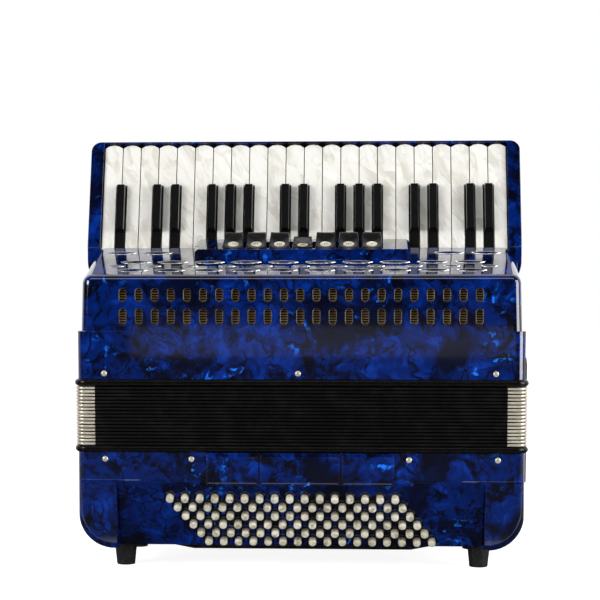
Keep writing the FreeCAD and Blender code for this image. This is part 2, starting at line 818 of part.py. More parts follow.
def make_treble_casing():
    casing = body("treble_casing")
    lip_out = f"({lean_y('-bed_drop', '-bed_depth')} + bed_lip)"
    lip_in = f"({lean_y('-bed_drop', '-(bed_depth - bed_wall)')} - bed_lip)"
    rear = f"({bed_seat} - rear_drop)"
    profile = [
        (front, treble_base),
        (back, treble_base),
        (back, rear),
        (lip_out, bed_seat),
        (cover_rear, bed_seat),
        (cover_rear, grille_base),
        (front, grille_base),
    ]
    outer = pad(
        casing,
        "TrebleOuter",
        sketch(casing, "TrebleSide", "YZ_Plane", profile),
        "body_length",
        both_ways=True,
    )

    def outer_corner(edge):
        return upright(edge) and near(abs(edge.BoundBox.Center.y), back)

    dress(casing, "Fillet", "TrebleCorners", outer, outer_corner, Radius="casing_corner")
    inside_front = f"({front} + casing_wall)"
    inside_back = f"({back} - casing_wall)"
    hollow = [
        (inside_front, f"({treble_base} - 1)"),
        (inside_back, f"({treble_base} - 1)"),
        (inside_back, f"({rear} - casing_wall / 2)"),
        (lip_in, f"({bed_seat} - casing_wall)"),
        (lip_in, f"({bed_seat} + 1)"),
        (f"({cover_rear} - 1)", f"({bed_seat} + 1)"),
        (f"({cover_rear} - 1)", f"({grille_base} + 1)"),
        (inside_front, f"({grille_base} + 1)"),
    ]
    pocket(
        casing,
        "TrebleHollow",
        sketch(casing, "TrebleInside", "YZ_Plane", hollow),
        "body_length - 2 * casing_wall",
        both_ways=True,
    )
    low = f"({board_top} - soundboard)"
    board = box_outline(inside_front, f"({back} - casing_wall / 2)", low, board_top)
    pad(
        casing,
        "TrebleSoundboard",
        sketch(casing, "TrebleBoard", "YZ_Plane", board),
        "body_length - casing_wall * 1.99",
        both_ways=True,
    )
    # One hole under each pallet.
    half = "(pallet_width / 2 - pallet_lap)"
    reach = "(pallet_length / 2 - pallet_lap)"
    low, high = f"(-pallet_place - {reach})", f"(-pallet_place + {reach})"
    holes = []
    for _, place, _ in key_list():
        x = key_x(place)
        holes.append(box_outline(f"{x} - {half}", f"{x} + {half}", low, high))
    drawing = sketch(casing, "PalletHolesPlan", "XY_Plane", *holes, offset=f"{board_top} + 1")
    pocket(casing, "PalletHoles", drawing, "soundboard + 2")
    stud = many_sided("0", f"({treble_base} + stud_rise)", "stud_radius", 12)
    for name, way in (("Right", "1"), ("Left", "-1")):
        drawing = sketch(
            casing, f"Stud{name}Side", "YZ_Plane", stud, offset=f"{way} * ({side} - 1)"
        )
        pad(casing, f"Stud{name}", drawing, "anchor_reach + 1", reverse=way == "-1")


bend_y = f"({grille_front} + grille_bend)"
bend_z = (
    f"({key_base} + (-grille_bend + ({bend_y} - key_line) * sin(grille_slope)) / cos(grille_slope))"
)


def top_z(y, lift):
    """Height of the grille's sloping top at a Y, raised square to the slope by a lift."""
    return f"({key_base} + (({y}) - key_line) * tan(grille_slope) + ({lift}) / cos(grille_slope))"


def grille_profile(inset, foot, rear):
    """Side view of the grille, drawn in by an inset."""
    return [
        (rear, foot),
        (rear, top_z(rear, f"-({inset})")),
        (bend_y, bend_z, f"(grille_bend - ({inset}))", "90 + grille_slope", "180"),
        (f"({grille_front} + {inset})", foot),
    ]


def slot(x, low, height):
    """An upright slot with round ends."""
    radius = "(slot_width / 2)"
    upper = flats(x, f"{low} + {height} - {radius}", radius, "0", "180", 3)
    lower = flats(x, f"{low} + {radius}", radius, "180", "360", 3)
    return upper + lower


def make_grille():
    grille = body("treble_grille")
    profile = grille_profile("0", grille_base, cover_rear)
    shape = pad(
        grille,
        "GrilleOuter",
        sketch(grille, "GrilleSide", "YZ_Plane", profile),
        f"2 * {grille_end}",
        both_ways=True,
    )
    ends = [
        [
            (f"{way} * {grille_end}", grille_base),
            (f"{way} * ({grille_end} + 1)", f"({key_base} + 1)"),
            (f"{way} * ({grille_end} - grille_draft)", f"({key_base} + 1)"),
        ]
        for way in ("-1", "1")
    ]
    drafted = pocket(
        grille, "EndDraft", sketch(grille, "EndDraftFront", "XZ_Plane", *ends), "2 * body_depth", True
    )

    def end_edge(edge):
        box = edge.BoundBox
        outer = abs(box.Center.x) > number(f"{grille_end} - grille_draft - 1")
        return outer and not near(box.ZMax, grille_base) and not near(box.YMin, cover_rear)

    dress(grille, "Fillet", "EndRound", drafted, end_edge, Radius="grille_end_round")
    inside = grille_profile("grille_wall", f"({grille_base} - 1)", f"({cover_rear} + 1)")
    pocket(
        grille,
        "GrilleHollow",
        sketch(grille, "GrilleInside", "YZ_Plane", inside),
        f"2 * ({grille_end} - grille_draft - grille_wall)",
        both_ways=True,
    )
    start = "-(slot_count - 1) / 2 * slot_pitch"
    slots = [
        slot(start, f"{grille_base} + slot_low", "slot_low_height"),
        slot(start, f"{grille_base} + slot_high", "slot_high_height"),
    ]
    drawing = sketch(grille, "SlotFront", "XZ_Plane", *slots, offset=f"-{grille_front} + 1")
    cut = pocket(grille, "Slots", drawing, "grille_wall * 3 + 1")
    row_of(grille, "SlotRow", [cut], "X_Axis", "slot_count", "slot_pitch")
    # The register tray is a raised, bevelled part of the same moulding.
    tray_front = f"({cover_rear} - tray_reach)"
    tray = [
        (tray_front, top_z(tray_front, "-grille_wall / 2")),
        (tray_front, top_z(tray_front, "tray_height")),
        (cover_rear, top_z(cover_rear, "tray_height")),
        (cover_rear, top_z(cover_rear, "-grille_wall / 2")),
    ]
    drawing = sketch(grille, "TraySide", "YZ_Plane", tray)
    raised = pad(grille, "Tray", drawing, "tray_length", both_ways=True)

    def tray_edge(edge):
        box = edge.BoundBox
        at_end = near(abs(box.Center.x), "tray_length / 2") and box.XLength < 0.01
        on_top = box.Center.z > number(top_z(str(box.Center.y), "tray_height * 0.8"))
        sloping = box.YLength > 1
        corner = near(box.Center.y, tray_front) and box.YLength < 0.01
        return at_end and ((on_top and sloping) or corner)

    dress(grille, "Chamfer", "TrayBevel", raised, tray_edge, Size="tray_bevel")
    half = "(((switch_count - 1) * switch_pitch + switch_width) / 2 + switch_gap)"
    well_front = f"({switch_y('0', '0')} - switch_gap)"
    well_back = f"({switch_y('switch_depth', '0')} + switch_rear_gap)"
    well = [
        (well_front, top_z(well_front, "-3 * grille_wall")),
        (well_front, top_z(well_front, "tray_height + 1")),
        (well_back, top_z(well_back, "tray_height + 1")),
        (well_back, top_z(well_back, "-3 * grille_wall")),
    ]
    drawing = sketch(grille, "WellSide", "YZ_Plane", well)
    pocket(grille, "SwitchWell", drawing, f"2 * {half}", both_ways=True)
    make_leaves(grille)


def leaf(x, y, length, bend):
    """A leaf with its length along X, its two curved sides drawn with flats."""
    half_angle = f"(asin({length} / 2 / {bend}) / 1 deg)"
    sink = f"({bend} * cos({half_angle}) - leaf_tip / 2)"
    front_side = flats(x, f"({y} - {sink})", bend, f"90 - {half_angle}", f"90 + {half_angle}", 3)
    rear_side = flats(x, f"({y} + {sink})", bend, f"270 - {half_angle}", f"270 + {half_angle}", 3)
    return front_side + rear_side


def make_leaves(grille):
    """Leaf-shaped cut-outs in the grille top, in rows before the tray and beside its ends."""
    rear_row = f"({cover_rear} - tray_reach - leaf_place)"
    large = ("leaf_length", "leaf_round")
    first = "(-(leaf_count - 0.5) * leaf_pitch)"
    rows = [leaf(first, f"({rear_row} - {gaps} * leaf_row_gap)", *large) for gaps in (0, 2)]
    drawing = sketch(grille, "LeafPlan", "XY_Plane", *rows, offset=key_base)
    cut = pocket(grille, "Leaves", drawing, "key_rise / 2")
    row_of(grille, "LeafRows", [cut], "X_Axis", "2 * leaf_count", "leaf_pitch")
    outer = "(leaf_count * leaf_pitch)"
    bud = leaf(f"(-{outer})", f"({rear_row} - leaf_row_gap)", "bud_length", "bud_round")
    drawing = sketch(grille, "BudPlan", "XY_Plane", bud, offset=key_base)
    cut = pocket(grille, "Buds", drawing, "key_rise / 2")
    row_of(grille, "BudRow", [cut], "X_Axis", "2 * leaf_count + 1", "leaf_pitch")
    beside_tray = f"({cover_rear} - tray_reach / 2)"
    inner = "((leaf_count - leaf_end_count + 1) * leaf_pitch)"
    ends = [leaf(f"(-{outer})", beside_tray, *large), leaf(inner, beside_tray, *large)]
    drawing = sketch(grille, "EndLeafPlan", "XY_Plane", *ends, offset=key_base)
    cut = pocket(grille, "EndLeaves", drawing, "key_rise / 2")
    row_of(grille, "EndLeafRow", [cut], "X_Axis", "leaf_end_count", "leaf_pitch")


def make_grille_mesh():
    """A thin louvre sheet that follows the inside of the grille's front and bend."""
    mesh = body("grille_mesh")
    rear = f"({cover_rear} - tray_reach - 4)"
    outer = "grille_wall + seat_gap"
    foot = f"({board_top} + seat_gap)"
    drawing = sketch(mesh, "MeshSide", "YZ_Plane", grille_profile(outer, foot, rear))
    pad(mesh, "MeshOuter", drawing, "mesh_length", both_ways=True)
    inner = f"{outer} + mesh_thickness"
    drawing = sketch(
        mesh, "MeshInside", "YZ_Plane", grille_profile(inner, f"({foot} - 1)", f"({rear} + 1)")
    )
    pocket(mesh, "MeshHollow", drawing, "mesh_length + 2", both_ways=True)


# --- register switches -------------------------------------------------------------------------


def switch_y(along, up):
    """Y of a point of the switches, along and square to the tray's top from a switch's front."""
    start = f"({cover_rear} - tray_reach + switch_place - tray_height * sin(grille_slope))"
    return f"({start} + ({along}) * cos(grille_slope) - ({up}) * sin(grille_slope))"


def make_switches():
    count = int(number("switch_count"))
    middle = count // 2
    groups = (
        ("register_switches", [n for n in range(count) if n != middle], "0"),
        ("selected_register_switch", [middle], "switch_press"),
    )
    # Drawn in a frame that lies on the tray's top, with its origin at the switches' pivot.
    pivot_along, pivot_down = "2", "(switch_foot - 1)"
    start_y = switch_y("0", "0")
    start_z = top_z(f"({start_y} + tray_height * sin(grille_slope))", "0")
    start_z = f"({start_z} + tray_height * cos(grille_slope))"
    for label, places, pressed in groups:
        group = body(label)
        profile = [
            (f"-{pivot_along}", f"{pivot_down} - switch_foot"),
            ("switch_depth - 2", f"{pivot_down} - switch_foot + 2"),
            ("switch_depth - 2", f"{pivot_down} + switch_rise - 2"),
            ("switch_depth - 7", f"{pivot_down} + switch_rise"),
            (f"-{pivot_along}", f"{pivot_down} + switch_front"),
        ]
        drawing = sketch(group, "SwitchSide", "YZ_Plane", profile)
        for place in places:
            x = f"({place} - {middle}) * switch_pitch"
            if place != places[0]:
                drawing = sketch(group, f"SwitchSide{place}", "YZ_Plane", profile, offset=x)
            else:
                bind(drawing, AttachmentOffset__Base__z=x)
            pad(group, f"Switch{place}", drawing, "switch_width", both_ways=True)
        group.Placement = Placement(Vector(), Rotation(Vector(1, 0, 0), 10))
        turn = f"(grille_slope - {pressed})"
        bind(
            group,
            Placement__Base__y=f"{start_y} + {pivot_along} * cos(grille_slope)"
            f" + {pivot_down} * sin(grille_slope)",
            Placement__Base__z=f"{start_z} + {pivot_along} * sin(grille_slope)"
            f" - {pivot_down} * cos(grille_slope)",
            Placement__Rotation__Angle=turn,
        )


# --- keyboard ----------------------------------------------------------------------------------


def on_key(y, z):
    """A point of the side view in the keys' own frame: depth under the face, place along the key."""
    across = f"({y} - key_line)"
    up = f"({z} - {key_base})"
    return (
        f"({across} * cos(key_lean) - {up} * sin(key_lean))",
        f"({across} * sin(key_lean) + {up} * cos(key_lean))",
    )


def lean_back(thing, x):
    """Place a body drawn in the keys' frame: origin on the key line, local Z up along the key."""
    thing.Placement = Placement(Vector(), Rotation(Vector(1, 0, 0), -10))
    bind(
        thing,
        Placement__Base__x=x,
        Placement__Base__y="key_line",
        Placement__Base__z=key_base,
        Placement__Rotation__Angle="360 - key_lean",
    )


def white_outline(low_shift, high_shift):
    """Front view of a white key, narrowed beside the black keys that it has as neighbours.

    Each shift is how far that neighbour stands to the high side, or None without a neighbour.
    """
    half = "((white_pitch - key_gap) / 2)"
    narrow = "((white_pitch - black_width) / 2 - key_gap"
    low_edge = half if low_shift is None else f"{narrow} - ({low_shift}))"
    high_edge = half if high_shift is None else f"{narrow} + ({high_shift}))"
    head = "(black_length + key_gap)"
    tip = f"(({half} * {half} + tip_bulge * tip_bulge) / 2 / tip_bulge)"
    spread = f"(asin({half} / {tip}) / 1 deg)"
    # The low side of a key is at +X.
    outline = [(f"-{high_edge}", "-key_tail"), (low_edge, "-key_tail")]
    if low_shift is not None:
        outline += [(low_edge, head), (half, head)]
    outline += flats("0", f"(white_length - {tip})", tip, f"90 - {spread}", f"90 + {spread}", 4)
    if high_shift is not None:
        outline += [(f"-{half}", head), (f"-{high_edge}", head)]
    return outline


def add_key_action(key):
    """The slot that hooks over the axle, the lever and the pallet."""
    radius = "(axle_radius + axle_clearance)"
    slot_outline = box_outline(
        f"(axle_depth - {radius})",
        "(key_thickness + 1)",
        f"(-axle_drop - {radius})",
        f"(-axle_drop + {radius})",
    )
    drawing = sketch(key, "AxleSlotSide", "YZ_Plane", slot_outline)
    pocket(key, "AxleSlot", drawing, "2 * white_pitch", both_ways=True)
    lever = [
        on_key("(-pallet_place - 3)", f"({pallet_top} - 1)"),
        on_key("(-pallet_place + 4)", f"({pallet_top} - 1)"),
        ("(key_thickness - 6)", "(2 - key_tail)"),
        ("3", "(6 - key_tail)"),
    ]
    drawing = sketch(key, "LeverSide", "YZ_Plane", lever)
    pad(key, "Lever", drawing, "lever_width", both_ways=True)
    ends = ("(-pallet_place - pallet_length / 2)", "(-pallet_place + pallet_length / 2)")
    pallet = [
        on_key(ends[0], pallet_base),
        on_key(ends[1], pallet_base),
        on_key(ends[1], pallet_top),
        on_key(ends[0], pallet_top),
    ]
    drawing = sketch(key, "PalletSide", "YZ_Plane", pallet)
    pad(key, "Pallet", drawing, "pallet_width", both_ways=True)


def make_keys():
    keys = key_list()
    shifts = black_shifts(keys)
    for label, place, black in keys:
        key = body(label)
        if black:
            middle = f"-({shifts[place]})"
            edges = (f"({middle} - black_width / 2)", f"({middle} + black_width / 2)")
            outline = box_outline(*edges, "-key_tail", "black_length")
        else:
            outline = white_outline(shifts.get(place - 0.5), shifts.get(place + 0.5))
        drawing = sketch(key, "KeyFront", "XZ_Plane", outline)
        pad(key, "KeyWood", drawing, "key_thickness", reverse=True)
        if black:
            cap = box_outline(*edges, "black_cap_start", "black_length")
            drawing = sketch(key, "CapFront", "XZ_Plane", cap)
            top = pad(key, "Cap", drawing, "black_cap_height")
            bind(top, TaperAngle="-black_cap_taper")
        add_key_action(key)
        lean_back(key, key_x(place))


def make_keyboard_bed():
    bed = body("keyboard_bed")
    rail_top = "(white_length + tip_gap + rail_thickness)"
    seat_back = on_key(lean_y("-bed_drop", "-bed_depth"), bed_seat)
    # The cheeks come down over the grille's rear edge and stand on the casing behind it.
    profile = [
        on_key(cover_rear, bed_seat),
        seat_back,
        ("bed_depth", rail_top),
        ("-cheek_proud", rail_top),
        ("-cheek_proud", "0"),
        on_key(cover_rear, key_base),
    ]
    block = pad(
        bed,
        "BedBlock",
        sketch(bed, "BedSide", "YZ_Plane", profile),
        f"2 * ({bed_inside} + cheek_width)",
        both_ways=True,
    )

    def top_corner(edge):
        box = edge.BoundBox
        across = box.XLength < 0.01 and box.YLength > number("bed_depth") / 2
        return across and near(abs(box.Center.x), f"{bed_inside} + cheek_width") and box.ZMin > number(
            "white_length"
        )

    dress(bed, "Fillet", "CheekRound", block, top_corner, Radius="cheek_round")
    well = box_outline(
        "(-cheek_proud - 1)", "(bed_depth - bed_wall)", "-4 * bed_drop", "(white_length + tip_gap)"
    )
    drawing = sketch(bed, "KeyWellSide", "YZ_Plane", well)
    pocket(bed, "KeyWell", drawing, f"2 * {bed_inside}", both_ways=True)
    lean_back(bed, "0")


def make_key_axle():
    axle = doc.addObject("Part::Cylinder", "KeyAxle")
    half = f"({side} - casing_wall)"
    axle.Placement = Placement(Vector(), Rotation(Vector(0, 1, 0), 90))
    bind(
        axle,
        Radius="axle_radius",
        Height=f"2 * {half}",
        Placement__Base__x=f"-{half}",
        Placement__Base__y="key_line - axle_drop * sin(key_lean) + axle_depth * cos(key_lean)",
        Placement__Base__z=f"{key_base} - axle_drop * cos(key_lean) - axle_depth * sin(key_lean)",
    )
    keep(axle, "key_axle")


# --- reed blocks and bellows straps ------------------------------------------------------------


def make_reed_blocks(label, root, way, height, count):
    """Tapered reed blocks standing on a sound board, or hanging from it."""
    blocks = body(label)
    outlines = []
    for place in range(count):
        y = f"({place} - {count - 1} / 2) * block_pitch"
        tip = f"({root} + {way} * {height})"
        outlines.append(
            [
                (f"{y} - block_foot / 2", root),
                (f"{y} + block_foot / 2", root),
                (f"{y} + block_tip / 2", tip),
                (f"{y} - block_tip / 2", tip),
            ]
        )
    drawing = sketch(blocks, "BlockSides", "YZ_Plane", *outlines)
    pad(blocks, "Blocks", drawing, "block_length", both_ways=True)


def make_bellows_strap(label, way):
    strap = body(label)
    half = "(tie_width / 2)"
    low = f"({bass_base} + tie_bottom)"
    outline = [
        (f"-{half}", low),
        (half, low),
        *flats("0", f"({low} + tie_length - {half})", half, "0", "180", 10),
    ]
    reach = f"{side} + anchor_reach + tie_gap"
    drawing = sketch(strap, "StrapSide", "YZ_Plane", outline, offset=f"{way} * ({reach})")
    pad(strap, "Strap", drawing, "tie_thickness", reverse=way == "-1")


# --- build -------------------------------------------------------------------------------------


def check_and_write():
    doc.recompute()
    failed = [o.Name for o in doc.Objects if {"Invalid", "Error"} & set(o.State)]
    assert not failed, f"failed objects: {failed}"
    for before, after in cuts:
        assert after.Shape.Volume < before.Shape.Volume - 1e-3, f"{after.Name} cuts nothing"
    for node in nodes:
        shape = node.Shape
        assert not shape.isNull() and shape.isValid() and shape.Solids, f"{node.Label} has no shape"
    for node in nodes:
        node.Shape.exportStep(f"parts/{node.Label}.step")
    print(f"{len(nodes)} sub-parts, {sum(len(node.Shape.Solids) for node in nodes)} solids")


make_bass_casing()
make_bottom_cover()
make_hand_strap()
make_feet()
make_air_button()
make_button_board()
make_bass_buttons()
make_register_pads()
make_frame("bass_bellows_frame", bass_top)
make_frame("treble_bellows_frame", f"({fold_top} + seat_gap)")
make_bellows()
make_treble_casing()
make_grille()
make_grille_mesh()
make_switches()
make_keys()
make_keyboard_bed()
make_key_axle()
make_reed_blocks("treble_reed_blocks", f"({board_top} - soundboard)", "-1", "treble_block_height", 3)
make_reed_blocks(
    "bass_reed_blocks", f"({bass_top} - soundboard_drop + soundboard)", "1", "bass_block_height", 2
)
make_bellows_strap("bellows_strap_right", "1")
make_bellows_strap("bellows_strap_left", "-1")
check_and_write()
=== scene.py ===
# %% [markdown]
# This lesson dresses a piano accordion that stands on its bass feet. The construction comes from a imported
# CAD model: every casing, key, lever and button already has its place and moves on its own joint. Here each
# surface gets its finish, and the pieces that a maker adds last are modelled: folds and nickel corners of
# the bellows, domed bass buttons, badges and pins. The pearl caps of the keys are told from their wood by
# the material.

# %% Load the frame
import math

import bmesh
import bpy
from mathutils import Matrix, Vector


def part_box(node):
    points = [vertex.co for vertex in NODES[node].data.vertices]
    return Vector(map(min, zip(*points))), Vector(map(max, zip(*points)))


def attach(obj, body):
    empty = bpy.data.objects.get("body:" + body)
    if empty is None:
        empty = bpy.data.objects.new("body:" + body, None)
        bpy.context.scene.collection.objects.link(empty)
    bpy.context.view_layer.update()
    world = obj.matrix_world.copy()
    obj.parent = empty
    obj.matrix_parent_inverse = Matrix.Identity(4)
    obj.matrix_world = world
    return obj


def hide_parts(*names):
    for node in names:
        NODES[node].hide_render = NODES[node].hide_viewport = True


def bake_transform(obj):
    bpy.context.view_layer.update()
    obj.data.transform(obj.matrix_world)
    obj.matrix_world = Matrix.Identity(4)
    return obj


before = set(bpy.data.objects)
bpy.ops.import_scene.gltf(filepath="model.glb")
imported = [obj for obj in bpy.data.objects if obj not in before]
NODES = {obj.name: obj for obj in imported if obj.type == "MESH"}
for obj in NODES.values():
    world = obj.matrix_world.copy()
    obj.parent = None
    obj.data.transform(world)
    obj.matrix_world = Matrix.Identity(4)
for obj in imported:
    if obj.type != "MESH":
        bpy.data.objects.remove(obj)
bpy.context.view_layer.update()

MM = 0.001
SCENE = bpy.context.scene

# %% [markdown]
# Every place below comes from the frame's boxes and from a few sizes of this instrument. The keys
# lean back by twenty degrees and the top of the grille slopes. Both could be worked out with angles
# each time, but directions of their own, written once, keep the later cells short. The key line is
# where the playing faces meet the grille.

# %% Sizes and places of the instrument
LEAN = math.radians(20)
WHITES = [name for name in NODES if name.startswith("key_") and len(name) == 6]
BLACKS = [name for name in NODES if "_sharp" in name]

grille_low, grille_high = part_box("treble_grille")
bass_low, bass_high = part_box("bass_casing")
bellows_low, bellows_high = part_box("bellows")
FRONT = bass_low.y
GRILLE_FRONT = grille_low.y
GRILLE_FOOT = grille_low.z
KEY_LINE = Vector((0, grille_high.y + 2 * MM, GRILLE_FOOT + 79.8 * MM))
OUT = Vector((0, -math.cos(LEAN), math.sin(LEAN)))
ACROSS = Vector((1, 0, 0))
SLOPE = math.radians(14.4)
LIFT = Vector((0, -math.sin(SLOPE), math.cos(SLOPE)))
RIB_PITCH = 2.35 * MM
LOUVRES_LIT = 48 * MM
print(len(WHITES), "white keys and", len(BLACKS), "black keys; key line at", KEY_LINE)


def on_grille_top(x, y, lift):
    """A point over the sloping top of the grille."""
    height = KEY_LINE.z + (y - KEY_LINE.y) * math.tan(SLOPE)
    return Vector((x, y, height)) + LIFT * lift


def full_turn(steps):
    """The angles of a full turn in equal steps."""
    return [2 * math.pi * step / steps for step in range(steps)]


def pairs(*numbers):
    """Sections and profiles are written in millimetres."""
    return [(out * MM, up * MM) for out, up in numbers]


# %% [markdown]
# Small pieces that repeat, such as rims, pins and button caps, could each be an object, but a
# hundred tiny objects are slow to read and to export. So they are gathered in one mesh for each
# moving body. A little collector adds lofts, turned shapes and swept rims to a list of points and
# faces, and turns them into an object that rides on a body of the frame.

# %% A collector for mesh pieces
class Shape:
    """Points and faces that become one piece."""

    def __init__(self):
        self.points = []
        self.faces = []

    def loft(self, rings, closed=False, caps=True):
        """Join rings of equally many points; closed joins the last ring to the first."""
        start = len(self.points)
        count = len(rings[0])
        for ring in rings:
            self.points += [Vector(point) for point in ring]
        steps = len(rings) if closed else len(rings) - 1
        for step in range(steps):
            here = start + step * count
            there = start + (step + 1) % len(rings) * count
            for place in range(count):
                after = (place + 1) % count
                self.faces.append((here + place, here + after, there + after, there + place))
        if caps and not closed:
            self.faces.append([start + place for place in reversed(range(count))])
            self.faces.append([start + steps * count + place for place in range(count)])

    def turned(self, profile, centre, axis, sides):
        """A turned shape from (radius, height) pairs, height measured along the axis."""
        axis = Vector(axis).normalized()
        first = axis.orthogonal().normalized()
        second = axis.cross(first)
        ways = [first * math.cos(turn) + second * math.sin(turn) for turn in full_turn(sides)]
        hubs = [(radius, Vector(centre) + axis * height) for radius, height in profile]
        self.loft([[hub + way * radius for way in ways] for radius, hub in hubs])

    def rim(self, path, normal, section):
        """A closed flat path swept with a section of (outward, raised) pairs."""
        normal = Vector(normal)
        rings = []
        for place, point in enumerate(path):
            ahead = path[(place + 1) % len(path)] - path[place - 1]
            outward = ahead.cross(normal).normalized()
            rings.append([point + outward * out + normal * up for out, up in section])
        self.loft(rings, closed=True)


def finish_mesh(mesh, sharp_angle):
    """Face the surface outwards and shade it smooth except at sharp edges."""
    work = bmesh.new()
    work.from_mesh(mesh)
    bmesh.ops.recalc_face_normals(work, faces=work.faces)
    work.to_mesh(mesh)
    work.free()
    for face in mesh.polygons:
        face.use_smooth = True
    mesh.set_sharp_from_angle(angle=math.radians(sharp_angle))


def make_object(name, shape, material, sharp_angle=40):
    """An object from a collected shape, with its material."""
    mesh = bpy.data.meshes.new(name)
    mesh.from_pydata(shape.points, [], shape.faces)
    finish_mesh(mesh, sharp_angle)
    mesh.materials.append(material)
    piece = bpy.data.objects.new(name, mesh)
    SCENE.collection.objects.link(piece)
    return piece


def make_piece(name, shape, material, body, stands_for=(), sharp_angle=40):
    """An object that rides on one body, perhaps in place of CAD nodes."""
    piece = make_object(name, shape, material, sharp_angle)
    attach(piece, body)
    if stands_for:
        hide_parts(*stands_for)
    print(name, "rides on", body, "with", len(shape.faces), "faces")
    return piece


print("mesh helpers are ready")


# %% [markdown]
# ## Finishes
# A finish is a tree of shader nodes. Trees can be drawn by hand in the shader editor, but in a
# script the same few steps repeat: add a node, set it, join it. A small wrapper gives each step a
# short name, so that a finish reads like a recipe.

# %% Helpers for node trees
def grey(value):
    return (value, value, value, 1)


def new_group(name, inputs, outputs):
    """A shader node group with named sockets; returns (group, what it is given, its results)."""
    group = bpy.data.node_groups.new(name, "ShaderNodeTree")
    for label, kind, value in inputs:
        socket = group.interface.new_socket(label, in_out="INPUT", socket_type=f"NodeSocket{kind}")
        if value is not None:
            socket.default_value = value
    for label, kind in outputs:
        group.interface.new_socket(label, in_out="OUTPUT", socket_type=f"NodeSocket{kind}")
    given, result = (group.nodes.new(f"NodeGroup{end}") for end in ("Input", "Output"))
    return group, given.outputs, result.inputs


class Tree:
    """Short ways to add and join nodes in a tree."""

    def __init__(self, tree):
        self.tree = tree

    def put(self, target, value):
        """Give a socket a value or join it to another socket."""
        if isinstance(value, bpy.types.NodeSocket):
            self.tree.links.new(value, target)
        else:
            target.default_value = value

    def add(self, kind, settings=(), **inputs):
        """A new node with its settings, and values or links for its inputs."""
        node = self.tree.nodes.new(kind)
        for name, value in dict(settings).items():
            setattr(node, name, value)
        for name, value in inputs.items():
            self.put(node.inputs[name], value)
        return node

    def math(self, operation, first, second=0.0, third=0.0):
        node = self.add("ShaderNodeMath", {"operation": operation})
        for socket, value in zip(node.inputs, (first, second, third)):
            self.put(socket, value)
        return node.outputs[0]

    def times(self, first, second):
        return self.math("MULTIPLY", first, second)

    def vector(self, operation, first, second=(0, 0, 0), scale=1.0):
        node = self.add("ShaderNodeVectorMath", {"operation": operation})
        self.put(node.inputs[0], first)
        self.put(node.inputs[1], second)
        if operation == "SCALE":
            self.put(node.inputs["Scale"], scale)
        return node.outputs["Value" if operation in ("DOT_PRODUCT", "LENGTH") else "Vector"]

    def mix(self, factor, first, second):
        node = self.add("ShaderNodeMix", {"data_type": "RGBA"})
        self.put(node.inputs["Factor"], factor)
        self.put(node.inputs[6], first)
        self.put(node.inputs[7], second)
        return node.outputs[2]

    def between(self, value, low, high, to_low=0.0, to_high=1.0):
        """Map a range of values smoothly to another, clamped."""
        node = self.add("ShaderNodeMapRange", {"interpolation_type": "SMOOTHSTEP"})
        for socket, given in zip(node.inputs, (value, low, high, to_low, to_high)):
            self.put(socket, given)
        return node.outputs[0]

    def noise(self, vector, scale, detail=2.0, roughness=0.5, output="Fac"):
        node = self.add(
            "ShaderNodeTexNoise", Vector=vector, Scale=scale, Detail=detail, Roughness=roughness
        )
        return node.outputs[output]

    def cells(self, vector, scale, feature="F1"):
        return self.add("ShaderNodeTexVoronoi", {"feature": feature}, Vector=vector, Scale=scale)


print("node helpers are ready")


# %% [markdown]
# The maker covers this instrument with pearloid, a celluloid sheet full of tiny flakes. In each
# patch the flakes lie one way, so patches shade differently and their borders read as veins. A
# printed picture of the sheet would blur up close, so one node group makes the pattern for the blue
# casings, the white keys and the bass buttons: warped cells, streaks along a direction of each
# cell's own, curly dark strokes and drifts, and swarms of frayed bright flakes.

